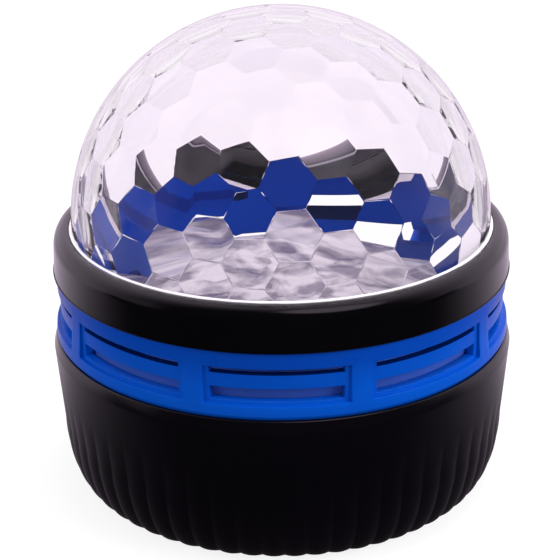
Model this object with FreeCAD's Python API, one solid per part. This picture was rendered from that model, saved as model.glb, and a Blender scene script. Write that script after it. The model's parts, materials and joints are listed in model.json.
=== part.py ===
import FreeCAD, Part
import itertools
import math
import os

# A magic ball light, free standing on a table.
# A clear dome, smooth outside and faceted inside, covers a slowly turning clear wheel.
# The wheel has a crushed ice pattern.
# Under them come a gloss black collar, a blue vented ring and a black fluted cup with the drive inside.
# Lengths are in millimetres. The origin is the middle of the footprint, +Z is up and the front faces -Y.

# Body outline
body_radius = 45.0
cup_bulge = 0.6
cup_taper = 0.7
cup_edge_inset = 6.3
cup_height = 31.3
cup_bulge_drop = 2.2
cup_rim_round = 0.5
cup_round_height = 13.6
foot_drop = 1.0
ring_height = 13.1
collar_height = 8.5
dome_centre_rise = 0.8

# Shared fits
seat_gap = 0.15
press_gap = 0.02
running_gap = 0.03
cut_overrun = 2.0

# Flutes of the cup
flute_count = 60
flute_drop = 9.8
flute_depth = 0.6
flute_step_shares = (0.0, 0.2, 0.38, 0.54, 0.68, 0.8, 0.9, 0.965, 1.0)
flute_fade_share = 0.85

# Inside of the cup
cup_wall = 2.0
spigot_depth = 4.8
cup_lower_wall = 3.8
cup_floor_inset = 6.8
cup_floor_thickness = 2.0
cup_slope_rise = 3.7
cup_slope_run = 2.2
cup_bore_rise = 7.7
cup_skirt_width = 3.5
cup_opening_inset = 4.2
snap_height = 0.4
snap_depth = 0.25
snap_rise = 1.8

# Bottom plate, feet and their screws
plate_thickness = 1.6
plate_recess = 0.2
foot_radius = 4.0
foot_pocket_depth = 0.5
foot_circle_radius = 24.0
foot_count = 4
bottom_screw_count = 4
bottom_screw_turn = 45.0
bottom_screw_inset = 2.0
bottom_boss_radius = 2.6
bottom_boss_height = 4.2

# Screws, one size for the shells and one for the small parts
screw_radius = 1.0
screw_head_radius = 1.9
screw_head_height = 1.1
screw_length = 5.0
small_screw_radius = 0.75
small_screw_head_radius = 1.4
small_screw_head_height = 0.8
small_screw_length = 3.6
slot_width = 0.45
slot_depth = 0.4
hole_gap = 0.2

# Vented ring
ring_top_inset = 0.7
ring_mid_inset = 0.55
ring_mid_rise = 7.0
ring_edge_inset = 0.5
ring_edge_chamfer = 0.8
ring_lip_inset = 0.05
ring_inner_inset = 2.8
ring_spigot_inner_inset = 4.1
ring_ledge_inset = 6.6
ring_ledge_rise = 1.0
ring_ledge_thickness = 1.6
ring_collar_inset = 2.1
ring_collar_inner_inset = 4.4
ring_collar_rise = 4.4
ring_slope_drop = 1.5
window_count = 9
window_span = 35.0
slot_span = 32.2
window_turn = -1.4
window_depth = 0.5
window_low_rise = 2.7
window_high_rise = 9.9
low_slot_rise = 3.4
low_slot_height = 2.5
high_slot_rise = 8.6
high_slot_height = 1.1
deck_boss_radius = 3.0
deck_boss_height = 7.0
deck_boss_inset = 9.0
deck_boss_count = 3
deck_boss_turn = 30.0

# Collar ring
collar_flare = 0.15
collar_chamfer = 0.4
collar_shoulder_inset = 0.35
collar_shoulder_drop = 3.0
collar_mouth_inset = 3.35
collar_mouth_land = 0.5
collar_round_share = 0.72

# Dome
dome_gap = 0.15
dome_inset = 0.6
dome_wall = 2.4
dome_flange_thickness = 1.6
dome_flange_gap = 0.3
dome_bead_rise = 0.4
facet_long_count = 4
facet_short_count = 2
facet_even_rounds = 60
facet_yaw = 11.1
facet_pitch = 9.8
facet_roll = -22.9
facet_reach_share = 1.4
facet_edge_share = 1.05
same_place_share = 0.001

# Deck that reflects the light
deck_thickness = 1.6
deck_edge_gap = 0.3
deck_rim_height = 4.0
deck_rim_width = 0.8
deck_slope_run = 2.6
lead_slot_gap = 4.0
lead_slot_turn = 8.0
lead_slot_length = 6.5
lead_slot_width = 3.0

# Gear train
gear_module = 0.5
wheel_teeth = 48
pinion_teeth = 12
pressure_angle = 25.0
tooth_height_share = 0.8
tooth_root_share = 1.05
backlash = 0.08
gear_level_count = 3
gear_face = 2.0
gear_gap = 0.5
hub_play = 0.2
hub_radius = 1.6
train_turn = 60.0
train_step = 60.0
idler_pin_radius = 0.8
idler_pin_seat = 1.0
gearbox_plate_thickness = 2.0
gearbox_plate_margin = 4.0
post_radius = 2.5
post_gap = 0.8
plate_corner_radius = 21.0
plate_corner_turn = 20.0

# Motor
motor_radius = 12.2
motor_floor_gap = 4.5
motor_cap_height = 2.0
motor_cap_inset = 0.6
motor_boss_radius = 3.0
motor_boss_height = 1.5
motor_shaft_radius = 0.75
motor_shaft_floor = 3.3
motor_screw_offset = 8.5
motor_screw_seat = 2.5
motor_screw_head_height = 0.5

# Wheel, its shaft and its bush
shaft_radius = 1.5
bush_radius = 3.5
bush_flange_radius = 5.0
bush_flange_thickness = 0.8
wheel_top_rise = 10.0
wheel_web = 2.5
wheel_radius_gap = 10.4
wheel_rim_width = 2.0
wheel_rim_depth = 4.2
wheel_hub_radius = 5.0
wheel_hub_depth = 4.8
wheel_cap_web = 1.5
bump_ring_radii = (9.6, 17.0, 24.3)
bump_ring_counts = (8, 14, 20)
bump_radius = 3.6
bump_height = 0.9

# Light board
led_board_radius = 24.0
led_board_bore = 7.0
led_board_thickness = 1.4
led_circle_radius = 15.0
led_width = 3.5
led_height = 1.0
led_lens_radius = 1.5
led_lens_base = 0.3
led_count = 6
led_colour_count = 3
led_screw_inset = 3.5
led_screw_turn = 90.0

# Control board and what it carries
board_gap = 0.2
board_thickness = 1.2
board_standoff = 3.2
board_screw_seat = 2.6
board_boss_gap = 0.8
board_motor_gap = 1.0
standoff_radius = 2.4
standoff_side_inset = 4.0
standoff_front_inset = 3.5
standoff_back_side_inset = 8.0
standoff_gap = 0.4
chip_size = (5.0, 4.0, 1.5)
chip_side = 7.0
chip_inset = 9.5
capacitor_radius = 3.0
capacitor_height = 6.0
capacitor_side = 7.5
capacitor_inset = 8.0
capacitor_round = 0.4

# Power socket
socket_width = 7.5
socket_height = 2.7
socket_depth = 5.6
socket_wall = 0.3
socket_floor = 0.8
socket_reach = 2.8
tongue_width = 5.0
tongue_height = 0.6
tongue_length = 3.8
socket_window_width = 11.5
socket_window_height = 6.4
socket_pad_inset = 3.0
socket_pad_margin = 2.0

# Mode button and its switch
button_turn = 28.0
button_radius = 3.0
button_gap = 0.12
button_proud = 0.9
button_round = 0.5
button_pad_inset = 2.4
button_pad_radius = 4.5
button_travel = 0.5
button_flange_radius = 3.4
button_flange_thickness = 0.8
button_stem_radius = 1.2
button_stem_length = 0.8
switch_width = 6.0
switch_depth = 3.4
switch_height = 5.6
switch_axis_rise = 3.8
switch_inset = 2.9
plunger_radius = 1.3
plunger_proud = 1.3
plunger_seat = 0.7

# Leads between the boards and the motor
lead_radius = 0.45
lead_bend = 1.6
lead_spacing = 1.4
led_lead_count = 3
led_lead_hump = 1.6
led_pad_inset = 1.7
led_lead_low = 3.4
led_lead_end_insets = (3.2, 7.0)
motor_lead_start = (4.5, 5.0)
motor_lead_low = 2.3
motor_pad_inset = 3.0

# Heights and radii worked out from the sizes above
edge_z = foot_drop
rim_z = edge_z + cup_height
collar_low_z = rim_z + ring_height
collar_top_z = collar_low_z + collar_height
dome_centre_z = collar_top_z + dome_centre_rise
flute_top_z = rim_z - flute_drop
bulge_radius = body_radius + cup_bulge
waist_radius = body_radius - cup_taper
edge_radius = body_radius - cup_edge_inset
spigot_bore = body_radius - cup_wall
cup_bore = body_radius - cup_lower_wall
cup_floor_radius = body_radius - cup_floor_inset
plate_bore = edge_radius - cup_skirt_width
plate_radius = plate_bore - seat_gap
cup_opening = plate_bore - cup_opening_inset
plate_low_z = edge_z + plate_recess
plate_top_z = plate_low_z + plate_thickness
cup_floor_z = plate_top_z + cup_floor_thickness
ledge_z = rim_z + ring_ledge_rise
deck_top_z = ledge_z + deck_thickness
ring_inner_radius = body_radius - ring_inner_inset
ring_collar_radius = body_radius - ring_collar_inset
ring_throat_radius = body_radius - ring_collar_inner_inset
flange_low_z = collar_low_z + ring_collar_rise
flange_top_z = flange_low_z + dome_flange_thickness
collar_bore = ring_collar_radius + seat_gap
collar_mouth_radius = body_radius - collar_mouth_inset
dome_skirt_radius = collar_mouth_radius - dome_gap
dome_radius = collar_mouth_radius - dome_inset
facet_distance = dome_radius - dome_wall
gear_pitch_radius = gear_module * wheel_teeth / 2
pinion_pitch_radius = gear_module * pinion_teeth / 2
gear_tip_radius = gear_pitch_radius + gear_module * tooth_height_share
gear_centres = gear_pitch_radius + pinion_pitch_radius
level_step = gear_face + gear_gap
gearbox_top_z = ledge_z - gear_level_count * level_step - gear_gap
gearbox_low_z = gearbox_top_z - gearbox_plate_thickness
level_z = [gearbox_top_z + gear_gap + level_step * n for n in range(gear_level_count)]
idler_low_z = gearbox_top_z + hub_play
idler_top_z = ledge_z - hub_play
wheel_top_z = rim_z + wheel_top_rise
wheel_low_z = wheel_top_z - wheel_web
wheel_radius = ring_throat_radius - wheel_radius_gap
shaft_top_z = wheel_top_z - wheel_cap_web
led_top_z = deck_top_z + led_board_thickness
led_screw_radius = led_board_radius - led_screw_inset
led_pad_radius = led_board_radius - led_pad_inset
lead_slot_radius = led_board_radius + lead_slot_gap
board_low_z = plate_top_z + board_standoff
board_top_z = board_low_z + board_thickness
board_radius = cup_floor_radius - board_gap
board_front = motor_radius + board_motor_gap
bottom_screw_radius = plate_radius - bottom_screw_inset
boss_inner_x = bottom_screw_radius * math.cos(math.radians(bottom_screw_turn)) - bottom_boss_radius
board_half_width = boss_inner_x - board_boss_gap
motor_height = gearbox_low_z - board_top_z - motor_floor_gap
motor_shaft_seat = motor_height - motor_shaft_floor
switch_place = cup_floor_radius - switch_inset
switch_axis_z = board_top_z + switch_axis_rise
socket_axis_z = board_top_z + socket_height / 2


def cylinder(radius, low, high, x=0, y=0):
    return Part.makeCylinder(radius, high - low, FreeCAD.Vector(x, y, low))


def block(low, high):
    size = [b - a for a, b in zip(low, high)]
    return Part.makeBox(*size, FreeCAD.Vector(*low))


def drilled(shape, radius, low, high, places):
    """The shape with a round hole at each place."""
    for x, y in places:
        shape = shape.cut(cylinder(radius, low, high, x, y))
    return shape


def polar(radius, degrees):
    angle = math.radians(degrees)
    return radius * math.cos(angle), radius * math.sin(angle)


def from_front(degrees):
    """The angle about Z of a place that many degrees to the right of the front."""
    return degrees - 90


def turned(outline):
    """A solid of revolution about Z. The outline is a closed list of (radius, height), and an entry of two
    such points is an arc that passes through the first and ends at the second."""
    start = here = FreeCAD.Vector(outline[0][0], 0, outline[0][1])
    edges = []
    for entry in outline[1:]:
        if isinstance(entry[0], tuple):
            through, end = [FreeCAD.Vector(r, 0, z) for r, z in entry]
            edges.append(Part.Arc(here, through, end).toShape())
        else:
            end = FreeCAD.Vector(entry[0], 0, entry[1])
            edges.append(Part.makeLine(here, end))
        here = end
    edges.append(Part.makeLine(here, start))
    return Part.Face(Part.Wire(edges)).revolve(FreeCAD.Vector(), FreeCAD.Vector(0, 0, 1), 360)


def sector(inner, outer, low, high, middle, span):
    """A piece of a ring, that many degrees wide, with its middle at an angle about Z."""
    up = FreeCAD.Vector(0, 0, 1)
    whole = Part.makeCylinder(outer, high - low, FreeCAD.Vector(0, 0, low), up, span)
    hollow = Part.makeCylinder(inner, high - low, FreeCAD.Vector(0, 0, low), up, span)
    piece = whole.cut(hollow)
    piece.rotate(FreeCAD.Vector(), up, middle - span / 2)
    return piece


def about_z(shape, degrees, centre=(0, 0)):
    copy = shape.copy()
    copy.rotate(FreeCAD.Vector(centre[0], centre[1], 0), FreeCAD.Vector(0, 0, 1), degrees)
    return copy


def ring_places(radius, count, turn):
    return [polar(radius, turn + 360 * n / count) for n in range(count)]


def screw(x, y, seat_z, length, radius, head_radius, head_height, up):
    """A slotted screw through a seat at seat_z, pointing up or down."""
    way = 1 if up else -1
    head_z = seat_z - way * head_height
    tip_z = seat_z + way * length
    body = cylinder(head_radius, min(head_z, seat_z), max(head_z, seat_z), x, y)
    body = body.fuse(cylinder(radius, min(seat_z, tip_z), max(seat_z, tip_z), x, y))
    slot_end = head_z + way * slot_depth
    slot_start = head_z - way * cut_overrun
    reach = head_radius + cut_overrun
    slot = block(
        (x - reach, y - slot_width / 2, min(slot_start, slot_end)),
        (x + reach, y + slot_width / 2, max(slot_start, slot_end)),
    )
    return body.cut(slot).removeSplitter()


def shell_screw(x, y, seat_z, up=True):
    return screw(x, y, seat_z, screw_length, screw_radius, screw_head_radius, screw_head_height, up)


def small_screw(x, y, seat_z, up=True):
    sizes = (small_screw_length, small_screw_radius, small_screw_head_radius, small_screw_head_height)
    return screw(x, y, seat_z, *sizes, up)


# The cup


def ridge_radius(z):
    """Radius of the cup's outside at a height, along the crest of a flute."""
    round_z = edge_z + cup_round_height
    if z >= round_z:
        share = (z - round_z) / (rim_z - cup_bulge_drop - round_z)
        return waist_radius + (bulge_radius - waist_radius) * share
    share = (round_z - z) / cup_round_height
    return edge_radius + (waist_radius - edge_radius) * math.sqrt(1 - share * share)


def flute_wire(z):
    """The outline of the cup at a height: one arc for each flute, from valley over crest to valley."""
    fade = (flute_top_z - z) / (flute_top_z - edge_z)
    crest = ridge_radius(z)
    valley = crest - flute_depth * fade**flute_fade_share
    step = 360 / flute_count
    edges = []
    for n in range(flute_count):
        a, b, c = [
            FreeCAD.Vector(*polar(radius, step * (n + share)), z)
            for radius, share in ((valley, 0), (crest, 1 / 2), (valley, 1))
        ]
        edges.append(Part.Arc(a, b, c).toShape())
    return Part.Wire(edges)


def cup_outside():
    heights = [flute_top_z - (flute_top_z - edge_z) * share for share in flute_step_shares]
    fluted = Part.makeLoft([flute_wire(z) for z in heights], True, True)
    round_reach = cup_rim_round * (1 - math.sqrt(1 / 2))
    round_middle = (body_radius - round_reach, rim_z - round_reach)
    plain = turned(
        [
            (0, flute_top_z),
            (ridge_radius(flute_top_z), flute_top_z),
            (bulge_radius, rim_z - cup_bulge_drop),
            (body_radius, rim_z - cup_rim_round),
            (round_middle, (body_radius - cup_rim_round, rim_z)),
            (0, rim_z),
        ]
    )
    return fluted.fuse(plain)


def cup_inside():
    snap_z = rim_z - spigot_depth + snap_rise
    slope_z = cup_floor_z + cup_slope_rise
    return turned(
        [
            (0, edge_z - cut_overrun),
            (plate_bore, edge_z - cut_overrun),
            (plate_bore, plate_top_z),
            (cup_opening, plate_top_z),
            (cup_opening, cup_floor_z),
            (cup_floor_radius, cup_floor_z),
            (cup_floor_radius + cup_slope_run, slope_z),
            (cup_bore, cup_floor_z + cup_bore_rise),
            (cup_bore, rim_z - spigot_depth),
            (spigot_bore, rim_z - spigot_depth),
            (spigot_bore, snap_z - snap_height),
            (spigot_bore + snap_depth, snap_z),
            (spigot_bore, snap_z + snap_height),
            (spigot_bore, rim_z + cut_overrun),
            (0, rim_z + cut_overrun),
        ]
    )


def bottom_screw_places():
    return ring_places(bottom_screw_radius, bottom_screw_count, bottom_screw_turn)


def base_shell():
    shell = cup_outside().cut(cup_inside())
    boss_top_z = cup_floor_z + bottom_boss_height
    for x, y in bottom_screw_places():
        shell = shell.fuse(cylinder(bottom_boss_radius, cup_floor_z, boss_top_z, x, y))
    pilot_low_z = plate_top_z - cut_overrun
    shell = drilled(shell, screw_radius + press_gap, pilot_low_z, boss_top_z, bottom_screw_places())
    half = socket_window_width / 2
    window = block(
        (-half, cup_floor_radius - socket_depth, socket_axis_z - socket_window_height / 2),
        (half, bulge_radius + cut_overrun, socket_axis_z + socket_window_height / 2),
    )
    pad_half = half + socket_pad_margin
    pad_rise = socket_window_height / 2 + socket_pad_margin
    window_pad = block(
        (-pad_half, body_radius - socket_pad_inset, socket_axis_z - pad_rise),
        (pad_half, bulge_radius + cut_overrun, socket_axis_z + pad_rise),
    )
    hole = along_button(button_radius + button_gap, cup_floor_radius, bulge_radius + cut_overrun)
    hole_pad = along_button(button_pad_radius, body_radius - button_pad_inset, bulge_radius + cut_overrun)
    for cut in (window, window_pad, hole, hole_pad):
        shell = shell.cut(cut)
    return shell.removeSplitter()


def bottom_plate():
    plate = cylinder(plate_radius, plate_low_z, plate_top_z)
    for x, y in standoff_places():
        plate = plate.fuse(cylinder(standoff_radius, plate_low_z, board_low_z, x, y))
    pilot_low_z = board_low_z - small_screw_length
    plate = drilled(plate, small_screw_radius + press_gap, pilot_low_z, board_low_z, standoff_places())
    under_z = plate_low_z - cut_overrun
    pocket_z = plate_low_z + foot_pocket_depth
    plate = drilled(plate, foot_radius + press_gap, under_z, pocket_z, foot_places())
    plate = drilled(plate, screw_radius + hole_gap, under_z, plate_top_z, bottom_screw_places())
    head_z = plate_low_z + screw_head_height
    return drilled(plate, screw_head_radius + hole_gap, under_z, head_z, bottom_screw_places())


def foot_places():
    return ring_places(foot_circle_radius, foot_count, 0)


def rubber_feet():
    top_z = plate_low_z + foot_pocket_depth
    return [cylinder(foot_radius, 0, top_z, x, y) for x, y in foot_places()]


def bottom_screws():
    return [shell_screw(x, y, plate_low_z + screw_head_height) for x, y in bottom_screw_places()]


# The vented ring and the collar


def deck_boss_places():
    return ring_places(body_radius - deck_boss_inset, deck_boss_count, deck_boss_turn)


def vent_ring():
    snap_z = rim_z - spigot_depth + snap_rise
    spigot_radius = spigot_bore - seat_gap
    spigot_inner = body_radius - ring_spigot_inner_inset
    ledge_radius = body_radius - ring_ledge_inset
    bottom_z = rim_z - spigot_depth
    ring = turned(
        [
            (spigot_inner, bottom_z),
            (spigot_radius, bottom_z),
            (spigot_radius, snap_z - snap_height),
            (spigot_radius + snap_depth, snap_z),
            (spigot_radius, snap_z + snap_height),
            (spigot_radius, rim_z),
            (body_radius - ring_edge_inset - ring_lip_inset, rim_z),
            (body_radius - ring_lip_inset, rim_z + ring_edge_chamfer),
            (body_radius - ring_mid_inset, rim_z + ring_mid_rise),
            (body_radius - ring_top_inset, collar_low_z),
            (ring_collar_radius, collar_low_z),
            (ring_collar_radius, flange_low_z),
            (ring_throat_radius, flange_low_z),
            (ring_throat_radius, collar_low_z),
            (ring_inner_radius, collar_low_z - ring_slope_drop),
            (ring_inner_radius, ledge_z),
            (ledge_radius, ledge_z),
            (ledge_radius, ledge_z - ring_ledge_thickness),
            (spigot_inner, ledge_z - ring_ledge_thickness),
        ]
    )
    boss_low_z = ledge_z - deck_boss_height
    for x, y in deck_boss_places():
        ring = ring.fuse(cylinder(deck_boss_radius, boss_low_z, ledge_z, x, y))
    ring = drilled(ring, screw_radius + press_gap, boss_low_z, ledge_z, deck_boss_places())
    cuts = []
    outer = body_radius + cut_overrun
    inner = ring_inner_radius - cut_overrun
    face_radius = body_radius - ring_mid_inset - window_depth
    low_z = rim_z + window_low_rise
    high_z = rim_z + window_high_rise
    slots = ((low_slot_rise, low_slot_height), (high_slot_rise, high_slot_height))
    for n in range(window_count):
        middle = from_front(window_turn + 360 * n / window_count)
        cuts.append(sector(face_radius, outer, low_z, high_z, middle, window_span))
        for rise, height in slots:
            cuts.append(sector(inner, outer, rim_z + rise, rim_z + rise + height, middle, slot_span))
    return ring.cut(Part.makeCompound(cuts)).removeSplitter()


def collar_ring():
    shoulder = (body_radius - collar_shoulder_inset, collar_top_z - collar_shoulder_drop)
    land = (collar_mouth_radius + collar_mouth_land, collar_top_z)
    through = (
        land[0] + (shoulder[0] - land[0]) * collar_round_share,
        shoulder[1] + (land[1] - shoulder[1]) * collar_round_share,
    )
    return turned(
        [
            (collar_bore, collar_low_z),
            (body_radius + collar_flare - collar_chamfer, collar_low_z),
            (body_radius + collar_flare, collar_low_z + collar_chamfer),
            shoulder,
            (through, land),
            (collar_mouth_radius, collar_top_z),
            (collar_mouth_radius, flange_top_z),
            (collar_bore, flange_top_z),
        ]
    )


# The dome


def unit(v):
    return v / v.Length


def icosahedron():
    """The corners of an icosahedron, and its triangles as corner numbers."""
    golden = (1 + math.sqrt(5)) / 2
    corners = []
    for a in (1, -1):
        for b in (golden, -golden):
            corners += [FreeCAD.Vector(0, a, b), FreeCAD.Vector(a, b, 0), FreeCAD.Vector(b, 0, a)]
    edge = min((corners[0] - v).Length for v in corners[1:])
    triangles = []
    for i, j, k in itertools.combinations(range(len(corners)), 3):
        a, b, c = corners[i], corners[j], corners[k]
        if max((a - b).Length, (b - c).Length, (c - a).Length) < edge * facet_edge_share:
            outward = (b - a).cross(c - a).dot(a) > 0
            triangles.append((i, j, k) if outward else (i, k, j))
    return [unit(v) for v in corners], triangles


def triangle_grid():
    """Places in a triangle, as weights of its corners, of a grid of hexagons laid askew across it."""
    sixth = complex(1, math.sqrt(3)) / 2
    side = facet_long_count + facet_short_count * sixth
    other = side * sixth
    area = (side.conjugate() * other).imag
    reach = 2 * (facet_long_count + facet_short_count)
    places = []
    for i in range(-reach, reach + 1):
        for j in range(-reach, reach + 1):
            here = i + j * sixth
            s = (here.conjugate() * other).imag / area
            t = (side.conjugate() * here).imag / area
            if min(s, t, 1 - s - t) > -same_place_share:
                places.append((1 - s - t, s, t))
    return places


def facet_directions():
    """Evenly spread outward directions, one for each facet, turned as the dome is moulded."""
    corners, triangles = icosahedron()
    found = []
    for i, j, k in triangles:
        for a, b, c in triangle_grid():
            v = unit(corners[i] * a + corners[j] * b + corners[k] * c)
            if all((v - other).Length > same_place_share for other in found):
                found.append(v)
    reach = facet_reach_share * math.sqrt(4 * math.pi / len(found) * 2 / math.sqrt(3))
    near = []
    for v in found:
        near.append([j for j, w in enumerate(found) if 0 < (v - w).Length < reach])
    for _ in range(facet_even_rounds):
        sums = [sum((found[j] for j in close), FreeCAD.Vector()) for close in near]
        found = [unit(total) for total in sums]
    turn = FreeCAD.Rotation(facet_yaw, facet_pitch, facet_roll)
    return [turn.multVec(v) for v in found], near


def facet_outline(normal, neighbours):
    """Corners of the flat facet at a direction, cut off where its neighbours' planes cross it."""
    across = FreeCAD.Vector(0, 0, 1) if abs(normal.z) < abs(normal.x) else FreeCAD.Vector(1, 0, 0)
    side = unit(normal.cross(across))
    other = normal.cross(side)
    centre = normal * facet_distance
    signs = ((1, 1), (-1, 1), (-1, -1), (1, -1))
    corners = [centre + (side * a + other * b) * dome_radius for a, b in signs]
    for plane in neighbours:
        kept = []
        for n, here in enumerate(corners):
            before = corners[n - 1]
            now, then = facet_distance - plane.dot(here), facet_distance - plane.dot(before)
            if now * then < 0:
                kept.append(before + (here - before) * (then / (then - now)))
            if now >= 0:
                kept.append(here)
        corners = kept
    return corners


def facet_core():
    """The faceted space inside the dome, as a solid."""
    directions, near = facet_directions()
    faces = []
    for n, normal in enumerate(directions):
        close = {k for j in near[n] for k in near[j]} - {n}
        corners = facet_outline(normal, [directions[k] for k in close])
        faces.append(Part.Face(Part.makePolygon(corners + corners[:1])))
    shell = Part.makeShell(faces)
    shell.sewShape()
    core = Part.makeSolid(shell)
    core.translate(FreeCAD.Vector(0, 0, dome_centre_z))
    return core


def dome():
    skirt_top = collar_top_z
    bead_z = skirt_top + dome_bead_rise
    bead_radius = math.sqrt(dome_radius**2 - (bead_z - dome_centre_z) ** 2)
    out, up = polar(dome_radius, 90 / 2)
    through = (out, dome_centre_z + up)
    flange_radius = collar_bore - dome_flange_gap
    outside = turned(
        [
            (0, flange_low_z),
            (flange_radius, flange_low_z),
            (flange_radius, flange_top_z),
            (dome_skirt_radius, flange_top_z),
            (dome_skirt_radius, skirt_top),
            (bead_radius, bead_z),
            (through, (0, dome_centre_z + dome_radius)),
        ]
    )
    mouth_radius = math.sqrt(facet_distance**2 - (dome_centre_z - flange_low_z) ** 2)
    mouth = cylinder(mouth_radius, flange_low_z - cut_overrun, dome_centre_z)
    return outside.cut(facet_core()).cut(mouth)


# The drive


def train_places():
    """The axes of the output gear, the slow idler, the fast idler and the motor."""
    return [(0, 0)] + [polar(gear_centres, train_turn + train_step * n) for n in range(3)]


def direction(start, end):
    return math.degrees(math.atan2(end[1] - start[1], end[0] - start[0]))


def tooth_flank(base_radius, radius):
    """How far an involute has turned, in radians, where it reaches a radius."""
    if radius <= base_radius:
        return 0
    slope = math.sqrt((radius / base_radius) ** 2 - 1)
    return slope - math.atan(slope)


def toothed(teeth, low, turn, centre):
    """A spur gear with a tooth pointing along turn."""
    pitch_radius = gear_module * teeth / 2
    base_radius = pitch_radius * math.cos(math.radians(pressure_angle))
    tip = pitch_radius + gear_module * tooth_height_share
    root = pitch_radius - gear_module * tooth_root_share
    half_pitch = math.pi / teeth / 2 - backlash / pitch_radius / 4
    start = max(root, base_radius)

    def half_angle(radius):
        return half_pitch + tooth_flank(base_radius, pitch_radius) - tooth_flank(base_radius, radius)

    def point(radius, angle):
        return FreeCAD.Vector(radius * math.cos(angle), radius * math.sin(angle), low)

    def both_sides(radius, angle, half):
        return point(radius, angle - half), point(radius, angle + half)

    edges = []
    middle_radius = (start + tip) / 2
    step = 2 * math.pi / teeth
    for n in range(teeth):
        a = math.radians(turn) + step * n
        foot_1, foot_2 = both_sides(root, a, half_angle(start))
        low_1, low_2 = both_sides(start, a, half_angle(start))
        mid_1, mid_2 = both_sides(middle_radius, a, half_angle(middle_radius))
        tip_1, tip_2 = both_sides(tip, a, half_angle(tip))
        if start > root:
            edges.append(Part.makeLine(foot_1, low_1))
        edges.append(Part.Arc(low_1, mid_1, tip_1).toShape())
        edges.append(Part.Arc(tip_1, point(tip, a), tip_2).toShape())
        edges.append(Part.Arc(tip_2, mid_2, low_2).toShape())
        if start > root:
            edges.append(Part.makeLine(low_2, foot_2))
        next_foot = point(root, a + step - half_angle(start))
        edges.append(Part.Arc(foot_2, point(root, a + step / 2), next_foot).toShape())
    gear = Part.Face(Part.Wire(edges)).extrude(FreeCAD.Vector(0, 0, gear_face))
    gear.translate(FreeCAD.Vector(centre[0], centre[1], 0))
    return gear


def gap_turn(start, end):
    """How a pinion at end is turned so that a gap faces the tooth of the gear at start."""
    return direction(end, start) + 180 / pinion_teeth


def output_gear():
    here, slow, _, _ = train_places()
    gear = toothed(wheel_teeth, level_z[2], direction(here, slow), here)
    gear = gear.fuse(cylinder(hub_radius + shaft_radius, level_z[2], idler_top_z))
    return gear.cut(cylinder(shaft_radius + press_gap, level_z[2] - cut_overrun, idler_top_z + cut_overrun))


def idler(centre, gear_level, gear_turn, pinion_turn):
    gear = toothed(wheel_teeth, level_z[gear_level], gear_turn, centre)
    gear = gear.fuse(toothed(pinion_teeth, level_z[gear_level + 1], pinion_turn, centre))
    gear = gear.fuse(cylinder(hub_radius, idler_low_z, idler_top_z, *centre))
    bore_radius = idler_pin_radius + running_gap
    return drilled(gear, bore_radius, idler_low_z - cut_overrun, idler_top_z + cut_overrun, [centre])


def slow_idler():
    output, here, fast, _ = train_places()
    return idler(here, 1, direction(here, fast), gap_turn(output, here))


def fast_idler():
    _, slow, here, motor = train_places()
    return idler(here, 0, direction(here, motor), gap_turn(slow, here))


def motor_pinion():
    _, _, fast, here = train_places()
    gear = toothed(pinion_teeth, level_z[0], gap_turn(fast, here), here)
    return gear.cut(cylinder(motor_shaft_radius + press_gap, level_z[0] - cut_overrun, level_z[1], *here))


def idler_pins():
    top_z = ledge_z + idler_pin_seat
    return [cylinder(idler_pin_radius, gearbox_low_z, top_z, x, y) for x, y in train_places()[1:3]]


def post_places():
    """The three posts that hold the gearbox plate, just clear of the gears they stand beside."""
    near = gear_tip_radius + post_radius + post_gap
    far = gear_centres + near
    across = train_turn + train_step + 180
    return [polar(near, across), polar(far, train_turn), polar(far, train_turn + train_step)]


def motor_screw_places():
    x, y = train_places()[3]
    away = train_turn + 2 * train_step + 90
    return [(x + dx, y + dy) for dx, dy in ring_places(motor_screw_offset, 2, away)]


def gearbox_plate():
    corner = polar(plate_corner_radius, train_turn + 2 * train_step + plate_corner_turn)
    points = [FreeCAD.Vector(x, y, gearbox_low_z) for x, y in post_places() + [corner]]
    outline = Part.Face(Part.makePolygon(points + points[:1])).makeOffset2D(gearbox_plate_margin)
    plate = outline.extrude(FreeCAD.Vector(0, 0, gearbox_plate_thickness))
    bores = [
        (shaft_radius + running_gap, train_places()[:1]),
        (idler_pin_radius + press_gap, train_places()[1:3]),
        (motor_boss_radius + seat_gap, train_places()[3:]),
        (small_screw_radius + hole_gap, post_places() + motor_screw_places()),
    ]
    for radius, places in bores:
        plate = drilled(plate, radius, gearbox_low_z - cut_overrun, gearbox_top_z + cut_overrun, places)
    return plate


def gearbox_screws():
    return [small_screw(x, y, gearbox_low_z) for x, y in post_places()]


def motor_screws():
    length = gearbox_plate_thickness + motor_screw_seat
    sizes = (length, small_screw_radius, small_screw_head_radius, motor_screw_head_height)
    return [screw(x, y, gearbox_top_z, *sizes, False) for x, y in motor_screw_places()]


def motor_can():
    x, y = train_places()[3]
    low_z = gearbox_low_z - motor_height + motor_cap_height
    can = cylinder(motor_radius, low_z, gearbox_low_z, x, y)
    can = can.fuse(cylinder(motor_boss_radius, gearbox_low_z, gearbox_low_z + motor_boss_height, x, y))
    seat_z = gearbox_low_z - motor_shaft_seat - hub_play
    can = can.cut(cylinder(motor_shaft_radius + running_gap, seat_z, gearbox_top_z + cut_overrun, x, y))
    pilot_low_z = gearbox_low_z - motor_screw_seat
    return drilled(can, small_screw_radius + press_gap, pilot_low_z, gearbox_top_z, motor_screw_places())


def motor_end_cap():
    x, y = train_places()[3]
    low_z = gearbox_low_z - motor_height
    cap = cylinder(motor_radius - motor_cap_inset, low_z, low_z + motor_cap_height, x, y)
    seat_z = low_z + motor_cap_height / 2
    return drilled(cap, lead_radius + press_gap, low_z - cut_overrun, seat_z, motor_lead_starts())


def motor_shaft():
    x, y = train_places()[3]
    return cylinder(motor_shaft_radius, gearbox_low_z - motor_shaft_seat, level_z[0] + gear_face, x, y)


# The deck and the wheel


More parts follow.
